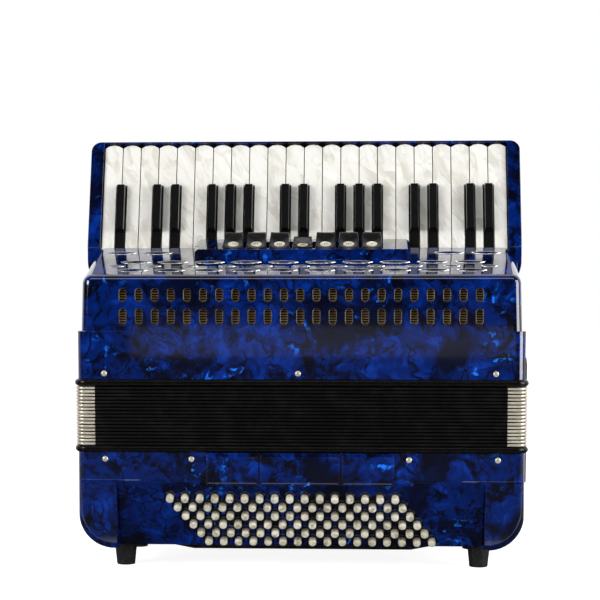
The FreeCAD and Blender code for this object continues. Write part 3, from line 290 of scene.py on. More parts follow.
# %% The pearloid pattern
def make_pearl_group():
    """Flaky celluloid: colour, and a mask of its bright flakes."""
    inputs = [("Vector", "Vector", None), ("Scale", "Float", 50.0)]
    inputs += [(label, "Color", grey(0.5)) for label in ("Deep", "Body", "Light", "Flake")]
    inputs += [(label, "Float", 1.0) for label in ("Veins", "Drifts", "Flakes")]
    group, given, result = new_group("Pearloid", inputs, [("Color", "Color"), ("Flakes", "Float")])
    tree = Tree(group)
    scale = given["Scale"]
    sway = tree.noise(given["Vector"], tree.times(scale, 0.5), 3, output="Color")
    sway = tree.vector("SUBTRACT", sway, (0.5, 0.5, 0.5))
    reach = tree.math("DIVIDE", 1.6, scale)
    warped = tree.vector("ADD", given["Vector"], tree.vector("SCALE", sway, scale=reach))
    patch = tree.cells(warped, scale)
    heading = tree.vector("SUBTRACT", patch.outputs["Color"], (0.5, 0.5, 0.5))
    streak = tree.vector("DOT_PRODUCT", heading, tree.vector("SCALE", warped, scale=scale))
    streak = tree.math("SINE", tree.times(streak, 9.0))
    grain = tree.noise(warped, tree.times(scale, 2.4), 4, 0.6)
    tone = tree.math("MULTIPLY_ADD", streak, 0.15, grain)
    shade = tree.vector("DOT_PRODUCT", patch.outputs["Color"], (0.15, 0.11, 0.0))
    tone = tree.math("ADD", tone, tree.math("SUBTRACT", shade, 0.13))
    body = tree.mix(tree.between(tone, 0.22, 0.52), given["Deep"], given["Body"])
    body = tree.mix(tree.between(tone, 0.55, 0.85), body, given["Light"])
    border = tree.cells(warped, tree.times(scale, 0.8), "DISTANCE_TO_EDGE")
    border = tree.between(border.outputs["Distance"], 0.0, 0.07, 1.0, 0.0)
    broken = tree.noise(warped, tree.times(scale, 0.9), 2)
    vein = tree.times(border, tree.between(broken, 0.5, 0.62))
    for size, width, shift in ((0.5, 0.028, (3.1, 0.7, 1.9)), (0.95, 0.036, (0.4, 5.2, 2.6))):
        moved = tree.vector("ADD", warped, shift)
        curl = tree.noise(moved, tree.times(scale, size), 3, 0.6)
        curl = tree.math("ABSOLUTE", tree.math("SUBTRACT", curl, 0.5))
        curl = tree.between(curl, 0.0, width, 1.0, 0.0)
        gaps = tree.noise(moved, tree.times(scale, 1.1 * size), 1)
        stroke = tree.times(curl, tree.between(gaps, 0.43, 0.58))
        vein = tree.math("MAXIMUM", vein, stroke)
    drift = tree.noise(warped, tree.times(scale, 0.32), 4, 0.62)
    drift = tree.times(tree.between(drift, 0.52, 0.6), given["Drifts"])
    dark = tree.math("MAXIMUM", tree.times(vein, given["Veins"]), drift)
    body = tree.mix(dark, body, given["Deep"])
    flake = 0.0
    frayed = tree.noise(warped, tree.times(scale, 7.0), 3, 0.6)
    for direction in ((1.0, 1.0, 0.4), (0.45, 1.0, 0.9)):
        small = tree.cells(tree.vector("MULTIPLY", warped, direction), tree.times(scale, 5.0))
        chosen = tree.add("ShaderNodeSeparateColor", Color=small.outputs["Color"]).outputs[0]
        ragged = tree.math("SUBTRACT", frayed, 0.5)
        ragged = tree.math("MULTIPLY_ADD", ragged, 2.2, small.outputs["Distance"])
        ragged = tree.between(ragged, 0.05, 0.5, 1, 0)
        lit = tree.times(tree.between(chosen, 0.84, 0.95), ragged)
        flake = tree.math("MAXIMUM", flake, lit)
    swarm = tree.noise(warped, tree.times(scale, 0.45), 2)
    flake = tree.times(flake, tree.between(swarm, 0.54, 0.66))
    flake = tree.times(flake, given["Flakes"])
    tree.put(result["Color"], tree.mix(flake, body, given["Flake"]))
    tree.put(result["Flakes"], flake)
    return group


PEARL = make_pearl_group()
print("the pearloid pattern has", len(PEARL.nodes), "nodes")


# %% [markdown]
# Polished celluloid and lacquer still show that hands have touched them. One roughness for a whole
# surface looks like plastic, so a second group varies it in soft smudges and fine hairlines. It
# feeds every finish of the instrument, each with its own clean and touched values. A third group
# makes a fine pebble for leather, lacquer and rubber.

# %% Smudges and pebble
def make_smudge_group():
    group, given, result = new_group(
        "Touched",
        [("Vector", "Vector", None), ("Clean", "Float", 0.1), ("Touched", "Float", 0.2)],
        [("Roughness", "Float")],
    )
    tree = Tree(group)
    cloud = tree.noise(given["Vector"], 22.0, 4, 0.6)
    drawn_out = tree.vector("MULTIPLY", given["Vector"], (1, 1, 14))
    lines = tree.noise(drawn_out, 60.0, 3)
    amount = tree.math("MULTIPLY_ADD", lines, 0.3, tree.times(cloud, 0.8))
    clean, touched = given["Clean"], given["Touched"]
    tree.put(result["Roughness"], tree.between(amount, 0.4, 0.75, clean, touched))
    return group


def make_pebble_group():
    group, given, result = new_group(
        "Pebble",
        [("Vector", "Vector", None), ("Scale", "Float", 900.0)],
        [("Height", "Float"), ("Wear", "Float")],
    )
    tree = Tree(group)
    grains = tree.cells(given["Vector"], given["Scale"]).outputs["Distance"]
    folds = tree.noise(given["Vector"], tree.times(given["Scale"], 0.2), 4)
    height = tree.math("MULTIPLY_ADD", grains, -0.6, folds)
    tree.put(result["Height"], height)
    tree.put(result["Wear"], tree.between(folds, 0.45, 0.7))
    return group


TOUCHED = make_smudge_group()
PEBBLE = make_pebble_group()
print("shared effects:", [group.name for group in bpy.data.node_groups])


# %% [markdown]
# Each finish keeps a Principled shader of its own and feeds it from the groups. Object coordinates
# carry the pattern, because a texture that is fixed to the scene would slide over a moving key.

# %% Starting a material
class Finish(Tree):
    """A material with its own Principled shader and object coordinates."""

    def __init__(self, name, **shader):
        self.material = bpy.data.materials.new(name)
        self.material.use_nodes = True
        super().__init__(self.material.node_tree)
        self.surface = self.tree.nodes["Principled BSDF"].inputs
        for label, value in shader.items():
            self.surface[label.replace("_", " ")].default_value = value
        self.place = self.add("ShaderNodeTexCoord").outputs["Object"]

    def group(self, group, **inputs):
        """Place a shared node group; returns its outputs."""
        return self.add("ShaderNodeGroup", {"node_tree": group}, **inputs).outputs

    def touched(self, clean, touched):
        """The smudged roughness."""
        return self.group(TOUCHED, Vector=self.place, Clean=clean, Touched=touched)["Roughness"]

    def paint(self, colour, clean, touched):
        """Join a colour and a smudged roughness to the shader."""
        self.put(self.surface["Base Color"], colour)
        self.put(self.surface["Roughness"], self.touched(clean, touched))

    def bump(self, height, strength, distance):
        node = self.add("ShaderNodeBump", Height=height, Strength=strength, Distance=distance)
        self.put(self.surface["Normal"], node.outputs["Normal"])

    def pearl(self, place, scale, colours, veins, drifts, flakes):
        """The pearloid pattern in four colours: deep, body, light and flake."""
        named = {label: (*rgb, 1) for label, rgb in zip(("Deep", "Body", "Light", "Flake"), colours)}
        amounts = {"Veins": veins, "Drifts": drifts, "Flakes": flakes}
        return self.group(PEARL, Vector=place, Scale=scale, **named, **amounts)["Color"]


print("finishes can be mixed")


# %% [markdown]
# The blue pearloid is a deep royal blue that drops to black between the patches, with small
# electric-blue flakes. It is polished like glass; a clear coat keeps that polish apart from the
# softer sheet below. The buttons have the same pattern in ivory, shifted from group to group.

# %% Blue pearloid and button pearl
def make_blue_pearl():
    tree = Finish("blue_pearloid", Coat_Weight=1.0, Coat_Roughness=0.03, Coat_IOR=1.5)
    colours = ((0.001, 0.0015, 0.007), (0.0, 0.011, 0.11), (0.001, 0.027, 0.25), (0.01, 0.2, 1.0))
    pearl = tree.pearl(tree.place, 43.0, colours, veins=0.92, drifts=0.9, flakes=0.9)
    tree.paint(pearl, 0.06, 0.14)
    return tree.material


def make_button_pearl():
    tree = Finish("button_pearl", Coat_Weight=1.0, Coat_Roughness=0.04)
    own = tree.add("ShaderNodeObjectInfo").outputs["Random"]
    shifted = tree.vector("ADD", tree.place, tree.vector("SCALE", (1.0, 0.7, 0.4), scale=own))
    shifted = tree.vector("MULTIPLY", shifted, (1.6, 1.6, 1.6))
    colours = ((0.36, 0.33, 0.24), (0.68, 0.64, 0.53), (0.83, 0.80, 0.71), (0.93, 0.93, 0.9))
    pearl = tree.pearl(shifted, 60.0, colours, veins=0.35, drifts=0.3, flakes=0.6)
    tree.paint(pearl, 0.12, 0.22)
    return tree.material


BLUE_PEARL = make_blue_pearl()
BUTTON_PEARL = make_button_pearl()
print("pearl:", BLUE_PEARL.name, BUTTON_PEARL.name)


# %% [markdown]
# Black parts differ by their sheen, not by their colour: the sharps are polished, the rockers a
# little less, the bellows frames are satin lacquer, and straps, cover and feet have a grain. One
# function with a pebble of its own scale makes all the grained ones.

# %% Black finishes
def make_black_gloss():
    tree = Finish("black_gloss", Coat_Weight=0.5, Coat_Roughness=0.04)
    dust = tree.noise(tree.place, 340.0, 2)
    colour = tree.mix(tree.between(dust, 0.62, 0.8), grey(0.006), (0.016, 0.016, 0.017, 1))
    tree.paint(colour, 0.1, 0.24)
    return tree.material


def make_rocker_black():
    tree = Finish("rocker_black", Coat_Weight=0.5, Coat_Roughness=0.06)
    grain = tree.group(PEBBLE, Vector=tree.place, Scale=1600.0)
    colour = tree.mix(grain["Wear"], (0.005, 0.005, 0.0055, 1), (0.01, 0.0095, 0.0095, 1))
    tree.paint(colour, 0.2, 0.36)
    tree.bump(grain["Height"], 0.12, 0.0002)
    return tree.material


def make_grained_black(name, scale, low, high, clean, touched, strength, sheen=0.0):
    """Leather, rubber and lacquer share a pebble at their own scale."""
    tree = Finish(name, Sheen_Weight=sheen, Specular_IOR_Level=0.3)
    grain = tree.group(PEBBLE, Vector=tree.place, Scale=scale)
    tree.paint(tree.mix(grain["Wear"], low, high), clean, touched)
    tree.bump(grain["Height"], strength, 0.0004)
    return tree.material


BLACK_GLOSS = make_black_gloss()
ROCKER_BLACK = make_rocker_black()
FRAME_BLACK = make_grained_black("frame_black", 500.0, grey(0.002), grey(0.004), 0.18, 0.28, 0.1)
LEATHER = make_grained_black(
    "strap_leather", 1100.0, (0.012, 0.011, 0.010, 1), (0.035, 0.031, 0.028, 1), 0.4, 0.6, 0.5
)
RUBBER = make_grained_black("foot_rubber", 1500.0, grey(0.01), grey(0.022), 0.5, 0.7, 0.3)
COVER_BLACK = make_grained_black(
    "cover_black", 1300.0, (0.012, 0.012, 0.013, 1), (0.024, 0.024, 0.025, 1), 0.4, 0.55, 0.35
)
print("black finishes, sharps to cover:", BLACK_GLOSS.name, "to", COVER_BLACK.name)


# %% [markdown]
# The bellows are card, covered with a fine black bookbinder's cloth, and a slightly glossier tape
# binds each crest. Threads this fine can't be modelled, so two crossed waves raise a weak bump.

# %% Bellows cloth
def make_bellows_cloth(name, low, high, clean, touched):
    tree = Finish(name, Sheen_Weight=0.0, Specular_IOR_Level=0.1)
    parts = tree.add("ShaderNodeSeparateXYZ", Vector=tree.place)
    around = tree.math("ADD", parts.outputs["X"], parts.outputs["Y"])
    warp = tree.math("SINE", tree.times(around, 9000.0))
    weft = tree.math("SINE", tree.times(parts.outputs["Z"], 12000.0))
    weave = tree.times(warp, weft)
    worn = tree.noise(tree.place, 70.0, 4, 0.6)
    tree.paint(tree.mix(tree.between(worn, 0.4, 0.7), low, high), clean, touched)
    tree.bump(weave, 0.15, 0.0001)
    return tree.material


BELLOWS_CLOTH = make_bellows_cloth("bellows_cloth", grey(0.002), grey(0.004), 0.6, 0.75)
BELLOWS_TAPE = make_bellows_cloth("bellows_tape", grey(0.004), grey(0.008), 0.4, 0.55)
print("bellows:", BELLOWS_CLOTH.name, BELLOWS_TAPE.name)


# %% [markdown]
# Metal is nickel plate on the corners and pins, with soft smudges, drawn steel for the axle, and a
# brown-gold lacquer on the louvres behind the slots. So little light gets through the slots that
# each rib's shadow is painted in by height. The reed blocks are bare wood with a straight grain.

# %% Metal and wood
def make_metal(name, low, high, clean, touched, metallic=1.0):
    tree = Finish(name, Metallic=metallic)
    cloud = tree.noise(tree.place, 130.0, 3)
    tree.paint(tree.mix(tree.between(cloud, 0.4, 0.65), low, high), clean, touched)
    return tree.material


def make_louvre_metal():
    """Brown-gold lacquer that turns dark towards the top of each rib, and over the lit height."""
    tree = Finish("louvre_metal", Specular_IOR_Level=0.15)
    height = tree.add("ShaderNodeSeparateXYZ", Vector=tree.place).outputs["Z"]
    rib = tree.math("DIVIDE", tree.math("SUBTRACT", height, GRILLE_FOOT), RIB_PITCH)
    rib = tree.math("FRACT", rib)
    lit = tree.times(tree.between(rib, 0.0, 0.15), tree.between(rib, 0.3, 0.6, 1.0, 0.0))
    lit = tree.times(lit, tree.math("LESS_THAN", height, GRILLE_FOOT + LOUVRES_LIT))
    cloud = tree.noise(tree.place, 90.0, 3)
    lacquer = tree.mix(tree.between(cloud, 0.4, 0.65), (0.34, 0.23, 0.11, 1), (0.52, 0.38, 0.2, 1))
    tree.paint(tree.mix(lit, (0.008, 0.006, 0.004, 1), lacquer), 0.5, 0.7)
    return tree.material


def make_wood(name, direction, low, high):
    """Straight-grained wood; the grain runs along the direction that has the smallest factor."""
    tree = Finish(name)
    stretched = tree.vector("MULTIPLY", tree.place, direction)
    rings = tree.noise(stretched, 300.0, 5, 0.65)
    pores = tree.noise(stretched, 1400.0, 2)
    colour = tree.mix(tree.between(rings, 0.35, 0.65), low, high)
    colour = tree.mix(tree.between(pores, 0.62, 0.72, 0.0, 0.5), colour, low)
    tree.paint(colour, 0.5, 0.65)
    tree.bump(rings, 0.2, 0.0003)
    return tree.material


NICKEL = make_metal("nickel", (0.60, 0.55, 0.45, 1), (0.74, 0.69, 0.58, 1), 0.16, 0.26, 0.45)
RIM_METAL = make_metal("rim_metal", (0.66, 0.66, 0.68, 1), (0.82, 0.82, 0.84, 1), 0.1, 0.18, 0.7)
SLOT_METAL = make_metal("slot_metal", (0.05, 0.038, 0.026, 1), (0.10, 0.08, 0.055, 1), 0.3, 0.45, 0.6)
AXLE_STEEL = make_metal("axle_steel", (0.42, 0.42, 0.43, 1), (0.6, 0.6, 0.61, 1), 0.25, 0.4)
LOUVRE_METAL = make_louvre_metal()
BLOCK_WOOD = make_wood("block_wood", (0.08, 1.0, 1.0), (0.36, 0.23, 0.12, 1), (0.56, 0.39, 0.22, 1))
print(len(bpy.data.materials), "materials")


# %% [markdown]
# ## Casings
# The CAD solids keep their shape. Each gets its finish and a small rounded edge, because a crisp
# edge never catches light the way a polished one does. The edges could be bevelled by hand, but the
# frame's meshes are split triangles, so modifiers do it: they join the corners, merge coplanar
# triangles and round what is left. Normals weighted by area then keep the flats free of streaks.

# %% Dress the CAD nodes
def dress(name, material, width):
    """Give a CAD node its finish and a rounded edge of that width."""
    node = NODES[name]
    node.data.materials.clear()
    node.data.materials.append(material)
    for face in node.data.polygons:
        face.use_smooth = True
    weld = node.modifiers.new("Join corners", "WELD")
    weld.merge_threshold = 0.005 * MM
    merge = node.modifiers.new("Merge flats", "DECIMATE")
    merge.decimate_type = "DISSOLVE"
    merge.angle_limit = math.radians(0.6)
    rounding = node.modifiers.new("Round edges", "BEVEL")
    rounding.width = width
    rounding.segments = 3
    rounding.limit_method = "ANGLE"
    rounding.angle_limit = math.radians(28)
    flats = node.modifiers.new("Flats stay flat", "WEIGHTED_NORMAL")
    flats.weight = 100
    flats.keep_sharp = True
    return node


for name, width in (
    ("bass_casing", 0.8),
    ("treble_casing", 0.5),
    ("treble_grille", 0.5),
    ("keyboard_bed", 0.9),
    ("bass_register_pads", 0.7),
    ("bass_button_board", 0.4),
):
    dress(name, BLUE_PEARL, width * MM)
for name in ("bass_bellows_frame", "treble_bellows_frame"):
    dress(name, FRAME_BLACK, 1.2 * MM)
for name in ("bass_reed_blocks", "treble_reed_blocks"):
    dress(name, BLOCK_WOOD, 0.5 * MM)
for name in ("hand_strap", "bellows_strap_left", "bellows_strap_right"):
    dress(name, LEATHER, 0.6 * MM)
dress("bass_bottom_cover", COVER_BLACK, 0.7 * MM)
dress("key_axle", AXLE_STEEL, 0.2 * MM)
dress("air_button", BUTTON_PEARL, 0.6 * MM)
dress("rubber_feet", RUBBER, 0.8 * MM)
print("dressed", sum(1 for node in NODES.values() if node.modifiers), "nodes")


# %% [markdown]
# ## Keys
# A white key is a lime-wood lever with a pearl cap. The solid could be cut in two pieces, but the
# cut would leave inner faces in every key. Instead the material tells the cap and the wood apart by
# depth under the playing face, measured along the keys' own outward direction, so that the joint
# runs straight along the key's side.

# %% White key material
CAP_DEPTH = 4.2 * MM


def make_white_key():
    tree = Finish("white_key", Coat_Roughness=0.04)
    own = tree.add("ShaderNodeObjectInfo").outputs["Random"]
    shifted = tree.vector("ADD", tree.place, tree.vector("SCALE", (1.7, 0.9, 0.6), scale=own))
    turned = tree.add("ShaderNodeVectorRotate", {"rotation_type": "Y_AXIS"}, Vector=shifted, Angle=0.45)
    drawn_down = tree.vector("MULTIPLY", turned.outputs["Vector"], (1.0, 0.8, 0.36))
    colours = ((0.67, 0.65, 0.58), (0.84, 0.825, 0.77), (0.89, 0.885, 0.85), (0.94, 0.94, 0.92))
    pearl = tree.pearl(drawn_down, 52.0, colours, veins=0.5, drifts=0.1, flakes=0.2)
    drawn_out = tree.vector("MULTIPLY", tree.place, (1.0, 1.0, 0.1))
    wood = tree.noise(drawn_out, 300.0, 4, 0.6)
    grain = tree.mix(tree.between(wood, 0.35, 0.65), (0.42, 0.28, 0.10, 1), (0.66, 0.5, 0.26, 1))
    depth = tree.vector("DOT_PRODUCT", tree.place, tuple(OUT))
    joint = KEY_LINE.dot(OUT) - CAP_DEPTH
    cap = tree.between(depth, joint - 0.1 * MM, joint + 0.1 * MM)
    tree.put(tree.surface["Base Color"], tree.mix(cap, grain, pearl))
    tree.put(tree.surface["Coat Weight"], cap)
    rough = tree.math("ADD", tree.touched(0.12, 0.22), tree.between(cap, 0.0, 1.0, 0.4, 0.0))
    tree.put(tree.surface["Roughness"], rough)
    return tree.material


WHITE_KEY = make_white_key()
for name in WHITES:
    dress(name, WHITE_KEY, 0.9 * MM)
for name in BLACKS:
    dress(name, BLACK_GLOSS, 0.8 * MM)
print("dressed", len(WHITES) + len(BLACKS), "keys")


# %% [markdown]
# The cheeks of the keyboard end in a foot that curves in towards the grille. The bend tightens
# downwards, which no even bevel gives, so the foot is a loft of flat sections, each with its drop
# under the keyboard bed and its inset from the outer face.

# %% Cheek feet
FOOT_CURVE = ((-2, 0.2), (2, 0.3), (6, 0.9), (10, 2.1), (14, 4.2), (17, 7.0), (19, 10.0))
FOOT_WIDTH = 12.5 * MM
FOOT_FRONT = 13.2 * MM
FOOT_REAR = 40 * MM
bed_low, bed_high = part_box("keyboard_bed")
feet = Shape()
for side in (-1, 1):
    inner = side * (bed_high.x - FOOT_WIDTH)
    rings = []
    for drop, inset in FOOT_CURVE:
        outer = side * (bed_high.x - inset * MM)
        corners = ((inner, FOOT_FRONT), (outer, FOOT_FRONT), (outer, FOOT_REAR), (inner, FOOT_REAR))
        rings.append([(x, y, bed_low.z - drop * MM) for x, y in corners])
    feet.loft(rings)
make_piece("cheek_feet", feet, BLUE_PEARL, "treble_side", sharp_angle=35)


# %% [markdown]
# ## Bellows
# The bellows have seventeen folds. When they open, every crest must sit at its own fraction of the way. One
# mesh for all of them would bunch up near both ends, because a blend weight rises as a smoothstep from
# start to end. So each half fold is a piece of its own; here it is only baked in place.

# %% Outlines and fold pitch
FOLDS = 17
FOLD_DEPTH = 14 * MM
CREST_RADIUS = 9 * MM
CREST_X = bellows_high.x
CREST_Y = bellows_high.y
FOLD_PITCH = (bellows_high.z - bellows_low.z) / FOLDS


def outline(x, y, radius, z, steps=6):
    """A rounded rectangle of half sizes x and y, counter-clockwise from above."""
    path = []
    for quarter, (a, b) in enumerate(((1, 1), (-1, 1), (-1, -1), (1, -1))):
        centre = Vector((a * (x - radius), b * (y - radius), z))
        for step in range(steps + 1):
            turn = math.radians(90 * (quarter + step / steps))
            path.append(centre + Vector((math.cos(turn), math.sin(turn), 0)) * radius)
    return path


def stretch(piece):
    """Bake a piece's placement into its mesh; no blend is set here."""
    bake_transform(piece)


print(FOLDS, "folds, pitch", round(FOLD_PITCH / MM, 2), "mm")


# %% [markdown]
# A fold is two flaps of card between an inner valley and an outer crest. Each crest is bound with a cloth
# tape, and four bent nickel strips guard its corners. Flaps, tapes and strips are each swept round the
# outline as pieces of their own.

# %% Folds, crest tapes and nickel corners
TAPE_SECTION = pairs(
    (-3.2, -0.9), (-1.2, -1.35), (-0.2, -0.95), (0.1, 0), (-0.2, 0.95), (-1.2, 1.35), (-3.2, 0.9)
)
STRIP_SECTION = ((-3.4, -1.15), (0.3, -1.25), (0.8, -0.7), (0.9, 0), (0.8, 0.7), (0.3, 1.25), (-3.4, 1.15))
STRIP_REACH = 9.5 * MM


def fold_half(z_valley, z_crest):
    """Half a fold: a card from the inner valley out to the crest."""
    flap = Shape()
    sign = 1 if z_crest > z_valley else -1
    rings = []
    shoulder = z_crest - sign * 0.3 * MM
    for depth, height in ((FOLD_DEPTH, z_valley), (1.0 * MM, shoulder), (0.3 * MM, z_crest)):
        radius = max(CREST_RADIUS - depth * 0.5, 1 * MM)
        rings.append(outline(CREST_X - depth, CREST_Y - depth, radius, height))
    flap.loft(rings, caps=False)
    return flap


def crest_tape(z):
    """The cloth bead that binds a crest."""
    tape = Shape()
    tape.rim(outline(CREST_X, CREST_Y, CREST_RADIUS, z), (0, 0, 1), TAPE_SECTION)
    return tape


def corner_caps(z):
    """Four bent nickel strips that guard the corners of a crest, a little narrower at their ends."""
    caps = Shape()
    radius = CREST_RADIUS
    for a, b in ((1, 1), (-1, 1), (-1, -1), (1, -1)):
        centre = Vector((a * (CREST_X - radius), b * (CREST_Y - radius), z))
        path = [(centre + Vector((-a * STRIP_REACH, b * radius, 0)), Vector((0, b, 0)))]
        for step in range(9):
            turn = math.radians(90 * step / 8)
            outward = Vector((a * math.sin(turn), b * math.cos(turn), 0))
            path.append((centre + outward * radius, outward))
        path.append((centre + Vector((a * radius, -b * STRIP_REACH, 0)), Vector((a, 0, 0))))
        rings = []
        for place, (point, outward) in enumerate(path):
            bow = 1 - 0.16 * abs(2 * place / (len(path) - 1) - 1) ** 3
            ring = [point + outward * out * MM + Vector((0, 0, up * bow * MM)) for out, up in STRIP_SECTION]
            rings.append(ring)
        caps.loft(rings)
    return caps


for fold in range(FOLDS):
    valley = bellows_low.z + fold * FOLD_PITCH
    crest = valley + FOLD_PITCH / 2
    next_valley = valley + FOLD_PITCH
    lower = make_object(f"fold_{fold:02d}_lower", fold_half(valley, crest), BELLOWS_CLOTH, 60)
    stretch(lower)
    upper = make_object(f"fold_{fold:02d}_upper", fold_half(next_valley, crest), BELLOWS_CLOTH, 60)
    stretch(upper)
    tape = make_object(f"crest_tape_{fold:02d}", crest_tape(crest), BELLOWS_TAPE, 50)
    stretch(tape)
    corner = make_object(f"crest_corners_{fold:02d}", corner_caps(crest), NICKEL, 50)
    stretch(corner)
    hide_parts("bellows")
print(2 * FOLDS, "flaps,", FOLDS, "tapes and", 4 * FOLDS, "corner strips")


# %% [markdown]
# ## Grille
# Each slot has a thin metal lining, and the leaf cut-outs on the sloping top have bright rims. The
# openings are cut in the CAD solid already, so a rim only has to follow the same path: a small
# section is swept round each slot and each leaf.

# %% Slot linings and leaf rims
SLOT_COUNT = 23
SLOT_PITCH = 15.35 * MM
SLOT_WIDTH = 7.6 * MM
SLOT_ROWS = ((5.4 * MM, 21.8 * MM), (27.3 * MM, 40.9 * MM))
LARGE_LEAF = (28 * MM, 24 * MM, 4.9 * MM)
SMALL_LEAF = (15 * MM, 12 * MM, 3.03 * MM)
LEAF_PITCH = 36 * MM
TEN = [LEAF_PITCH * (place - 4.5) for place in range(10)]
ELEVEN = [LEAF_PITCH * (place - 5) for place in range(11)]
BESIDE_TRAY = [LEAF_PITCH * place for place in (-5, -4, 4, 5)]
LEAF_ROWS = (
    (-72 * MM, LARGE_LEAF, TEN),
    (-57 * MM, SMALL_LEAF, ELEVEN),
    (-42 * MM, LARGE_LEAF, TEN),
    (-7 * MM, LARGE_LEAF, BESIDE_TRAY),
)
LINING = pairs((0, -3.2), (0, 0.15), (-0.3, 0.3), (-0.6, 0.1), (-0.6, -3.2))
LEAF_RIM = pairs((-0.8, -0.8), (-0.8, 0.1), (-0.4, 0.5), (0.2, 0.5), (0.6, 0.0), (0.2, -0.6))


def slot_path(x, low, high, inset):
    """A slot with round ends on the front of the grille, counter-clockwise from the front."""
    radius = SLOT_WIDTH / 2 - inset
    path = []
    for centre, begin in ((high - SLOT_WIDTH / 2, 0), (low + SLOT_WIDTH / 2, 180)):
        for step in range(9):
            turn = math.radians(begin + 180 * step / 8)
            height = centre + radius * math.sin(turn)
            path.append(Vector((x + radius * math.cos(turn), GRILLE_FRONT, height)))
    return path


def leaf_path(x, y, leaf):
    """A pointed leaf on the sloping top, counter-clockwise from above."""
    length, bend, half_width = leaf
    path = []
    for side in (-1, 1):
        for step in range(12):
            along = side * length * (step / 12 - 0.5) * -1
            width = math.sqrt(bend**2 - along**2) - bend + half_width
            path.append(on_grille_top(x - along, y + side * width, 0))
    return path


linings = Shape()
for place in range(SLOT_COUNT):
    x = SLOT_PITCH * (place - (SLOT_COUNT - 1) / 2)
    for low, high in SLOT_ROWS:
        linings.rim(slot_path(x, GRILLE_FOOT + low, GRILLE_FOOT + high, 0.1 * MM), (0, -1, 0), LINING)
make_piece("slot_linings", linings, SLOT_METAL, "treble_side")

leaf_rims = Shape()
for y, leaf, places in LEAF_ROWS:
    for x in places:
        leaf_rims.rim(leaf_path(x, y, leaf), LIFT, LEAF_RIM)
make_piece("leaf_rims", leaf_rims, RIM_METAL, "treble_side")
print("slots:", 2 * SLOT_COUNT, "leaves:", sum(len(places) for y, leaf, places in LEAF_ROWS))


# %% [markdown]
# Behind the openings sits a corrugated louvre sheet. Ribs made by a bump alone would look flat, so
# the sheet is one zigzag profile, up the front and back along the slope, drawn out sideways.

# %% Louvre sheet
INSIDE = 3.6 * MM
RIB_DEPTH = 1.9 * MM
SHEET_TOP = GRILLE_FOOT + 50 * MM
SHEET_REAR = -31 * MM
SHEET_HALF = 198 * MM
profile = []
height = GRILLE_FOOT + RIB_PITCH
step = 0
while height < SHEET_TOP:
    profile.append(Vector((0, GRILLE_FRONT + INSIDE + RIB_DEPTH * (step % 2), height)))
    height += RIB_PITCH * (0.2 if step % 2 else 0.8)
    step += 1
y = GRILLE_FRONT + 14 * MM
while y < SHEET_REAR:
    profile.append(on_grille_top(0, y, -INSIDE - RIB_DEPTH * (step % 2)))
    y += 1.1 * MM
    step += 1
profile += [point + Vector((0, 1 * MM, -0.6 * MM)) for point in reversed(profile)]
louvres = Shape()
louvres.loft([[point + ACROSS * x for point in profile] for x in (-SHEET_HALF, SHEET_HALF)])
make_piece("louvre_sheet", louvres, LOUVRE_METAL, "treble_side", ["grille_mesh"], 20)


# %% [markdown]
# ## Register switches
# Seven rockers stand in a tray on the grille. Each has a thumb scoop in its sloping face and a
# raised rear edge. Cutting the scoop into a box would leave hard edges, so a rocker is a loft of
# side views, thirteen across its width. The middle one is pressed, so it lies at another angle at
# rest. Lengths inside a rocker are in millimetres.

# %% Rockers
SWITCH_PITCH = 22.7 * MM
PIVOT = Vector((0, -20.68 * MM, GRILLE_FOOT + 75.28 * MM))
PRESSED = math.radians(-14)
FACE_FOOT = -2
FACE_RUN = 20
FACE_RISE = 10
FACE_TILT = math.atan2(FACE_RISE, FACE_RUN)


def rocker_frame(x, turn):
    """A function from (across, along, up) of a rocker to the row's frame."""
    angle = SLOPE + turn
    along_way = Vector((0, math.cos(angle), math.sin(angle)))
    up_way = Vector((0, -math.sin(angle), math.cos(angle)))
    return lambda across, along, up: (
        PIVOT + ACROSS * (x + across * MM) + along_way * along * MM + up_way * up * MM
    )


def face_height(along, across):
    """The scooped face of a rocker, in its own frame."""
    way = (along - FACE_FOOT) / FACE_RUN
    hollow = 1.7 * math.sin(math.pi * min(max(way, 0), 1)) ** 0.8
    return 5.2 + way * FACE_RISE - (hollow + 0.5) * (1 - across**2)


def rocker_side(across):
    """The side view of a rocker as (along, up) points, at a place across its width."""
    edge = 0.7 if abs(across) == 1 else (0.15 if abs(across) > 0.95 else 0.0)
    crown = 1 - across**2
    section = [(-2 + edge, -1 + edge), (23 - edge, 0.6 + edge), (23 - edge, 12.8 - edge)]
    section += [(22.2, 14.2 - edge), (20.6, 15.1 - edge - 0.4 * crown), (19, 15.4 - edge - 0.5 * crown)]
    section += [(along, face_height(along, across) - edge) for along in (17.5, 15, 12, 9, 6, 3, 0.5, -1)]
    return section + [(-1.8, 4.6 - edge), (-2 + edge, 3.8 - edge)]


def add_rocker(shape, frame_of):
    """A rocker that gets a little narrower upwards."""
    rings = []
    for across in (-1, -0.97, -0.9, -0.7, -0.45, -0.2, 0, 0.2, 0.45, 0.7, 0.9, 0.97, 1):
        section = rocker_side(across)
        rings.append([frame_of(across * (10.8 - 0.13 * max(up, 0)), along, up) for along, up in section])
    shape.loft(rings)


SWITCHES = [(place + 3, rocker_frame(place * SWITCH_PITCH, 0.0)) for place in (-3, -2, -1, 1, 2, 3)]
CHOSEN = [(3, rocker_frame(0.0, PRESSED))]
for name, switches, body in (
    ("rockers", SWITCHES, "register_switches"),
    ("chosen_rocker", CHOSEN, "selected_register_switch"),
):
    shape = Shape()
    for kind, frame_of in switches:
        add_rocker(shape, frame_of)
    make_piece(name, shape, ROCKER_BLACK, body, [body])


# %% [markdown]
# A pale oval plate lies low on each face, with dots for the voices of the reeds. Both could be
# painted on, but the real plate is raised and catches the light, so they are low lofts.

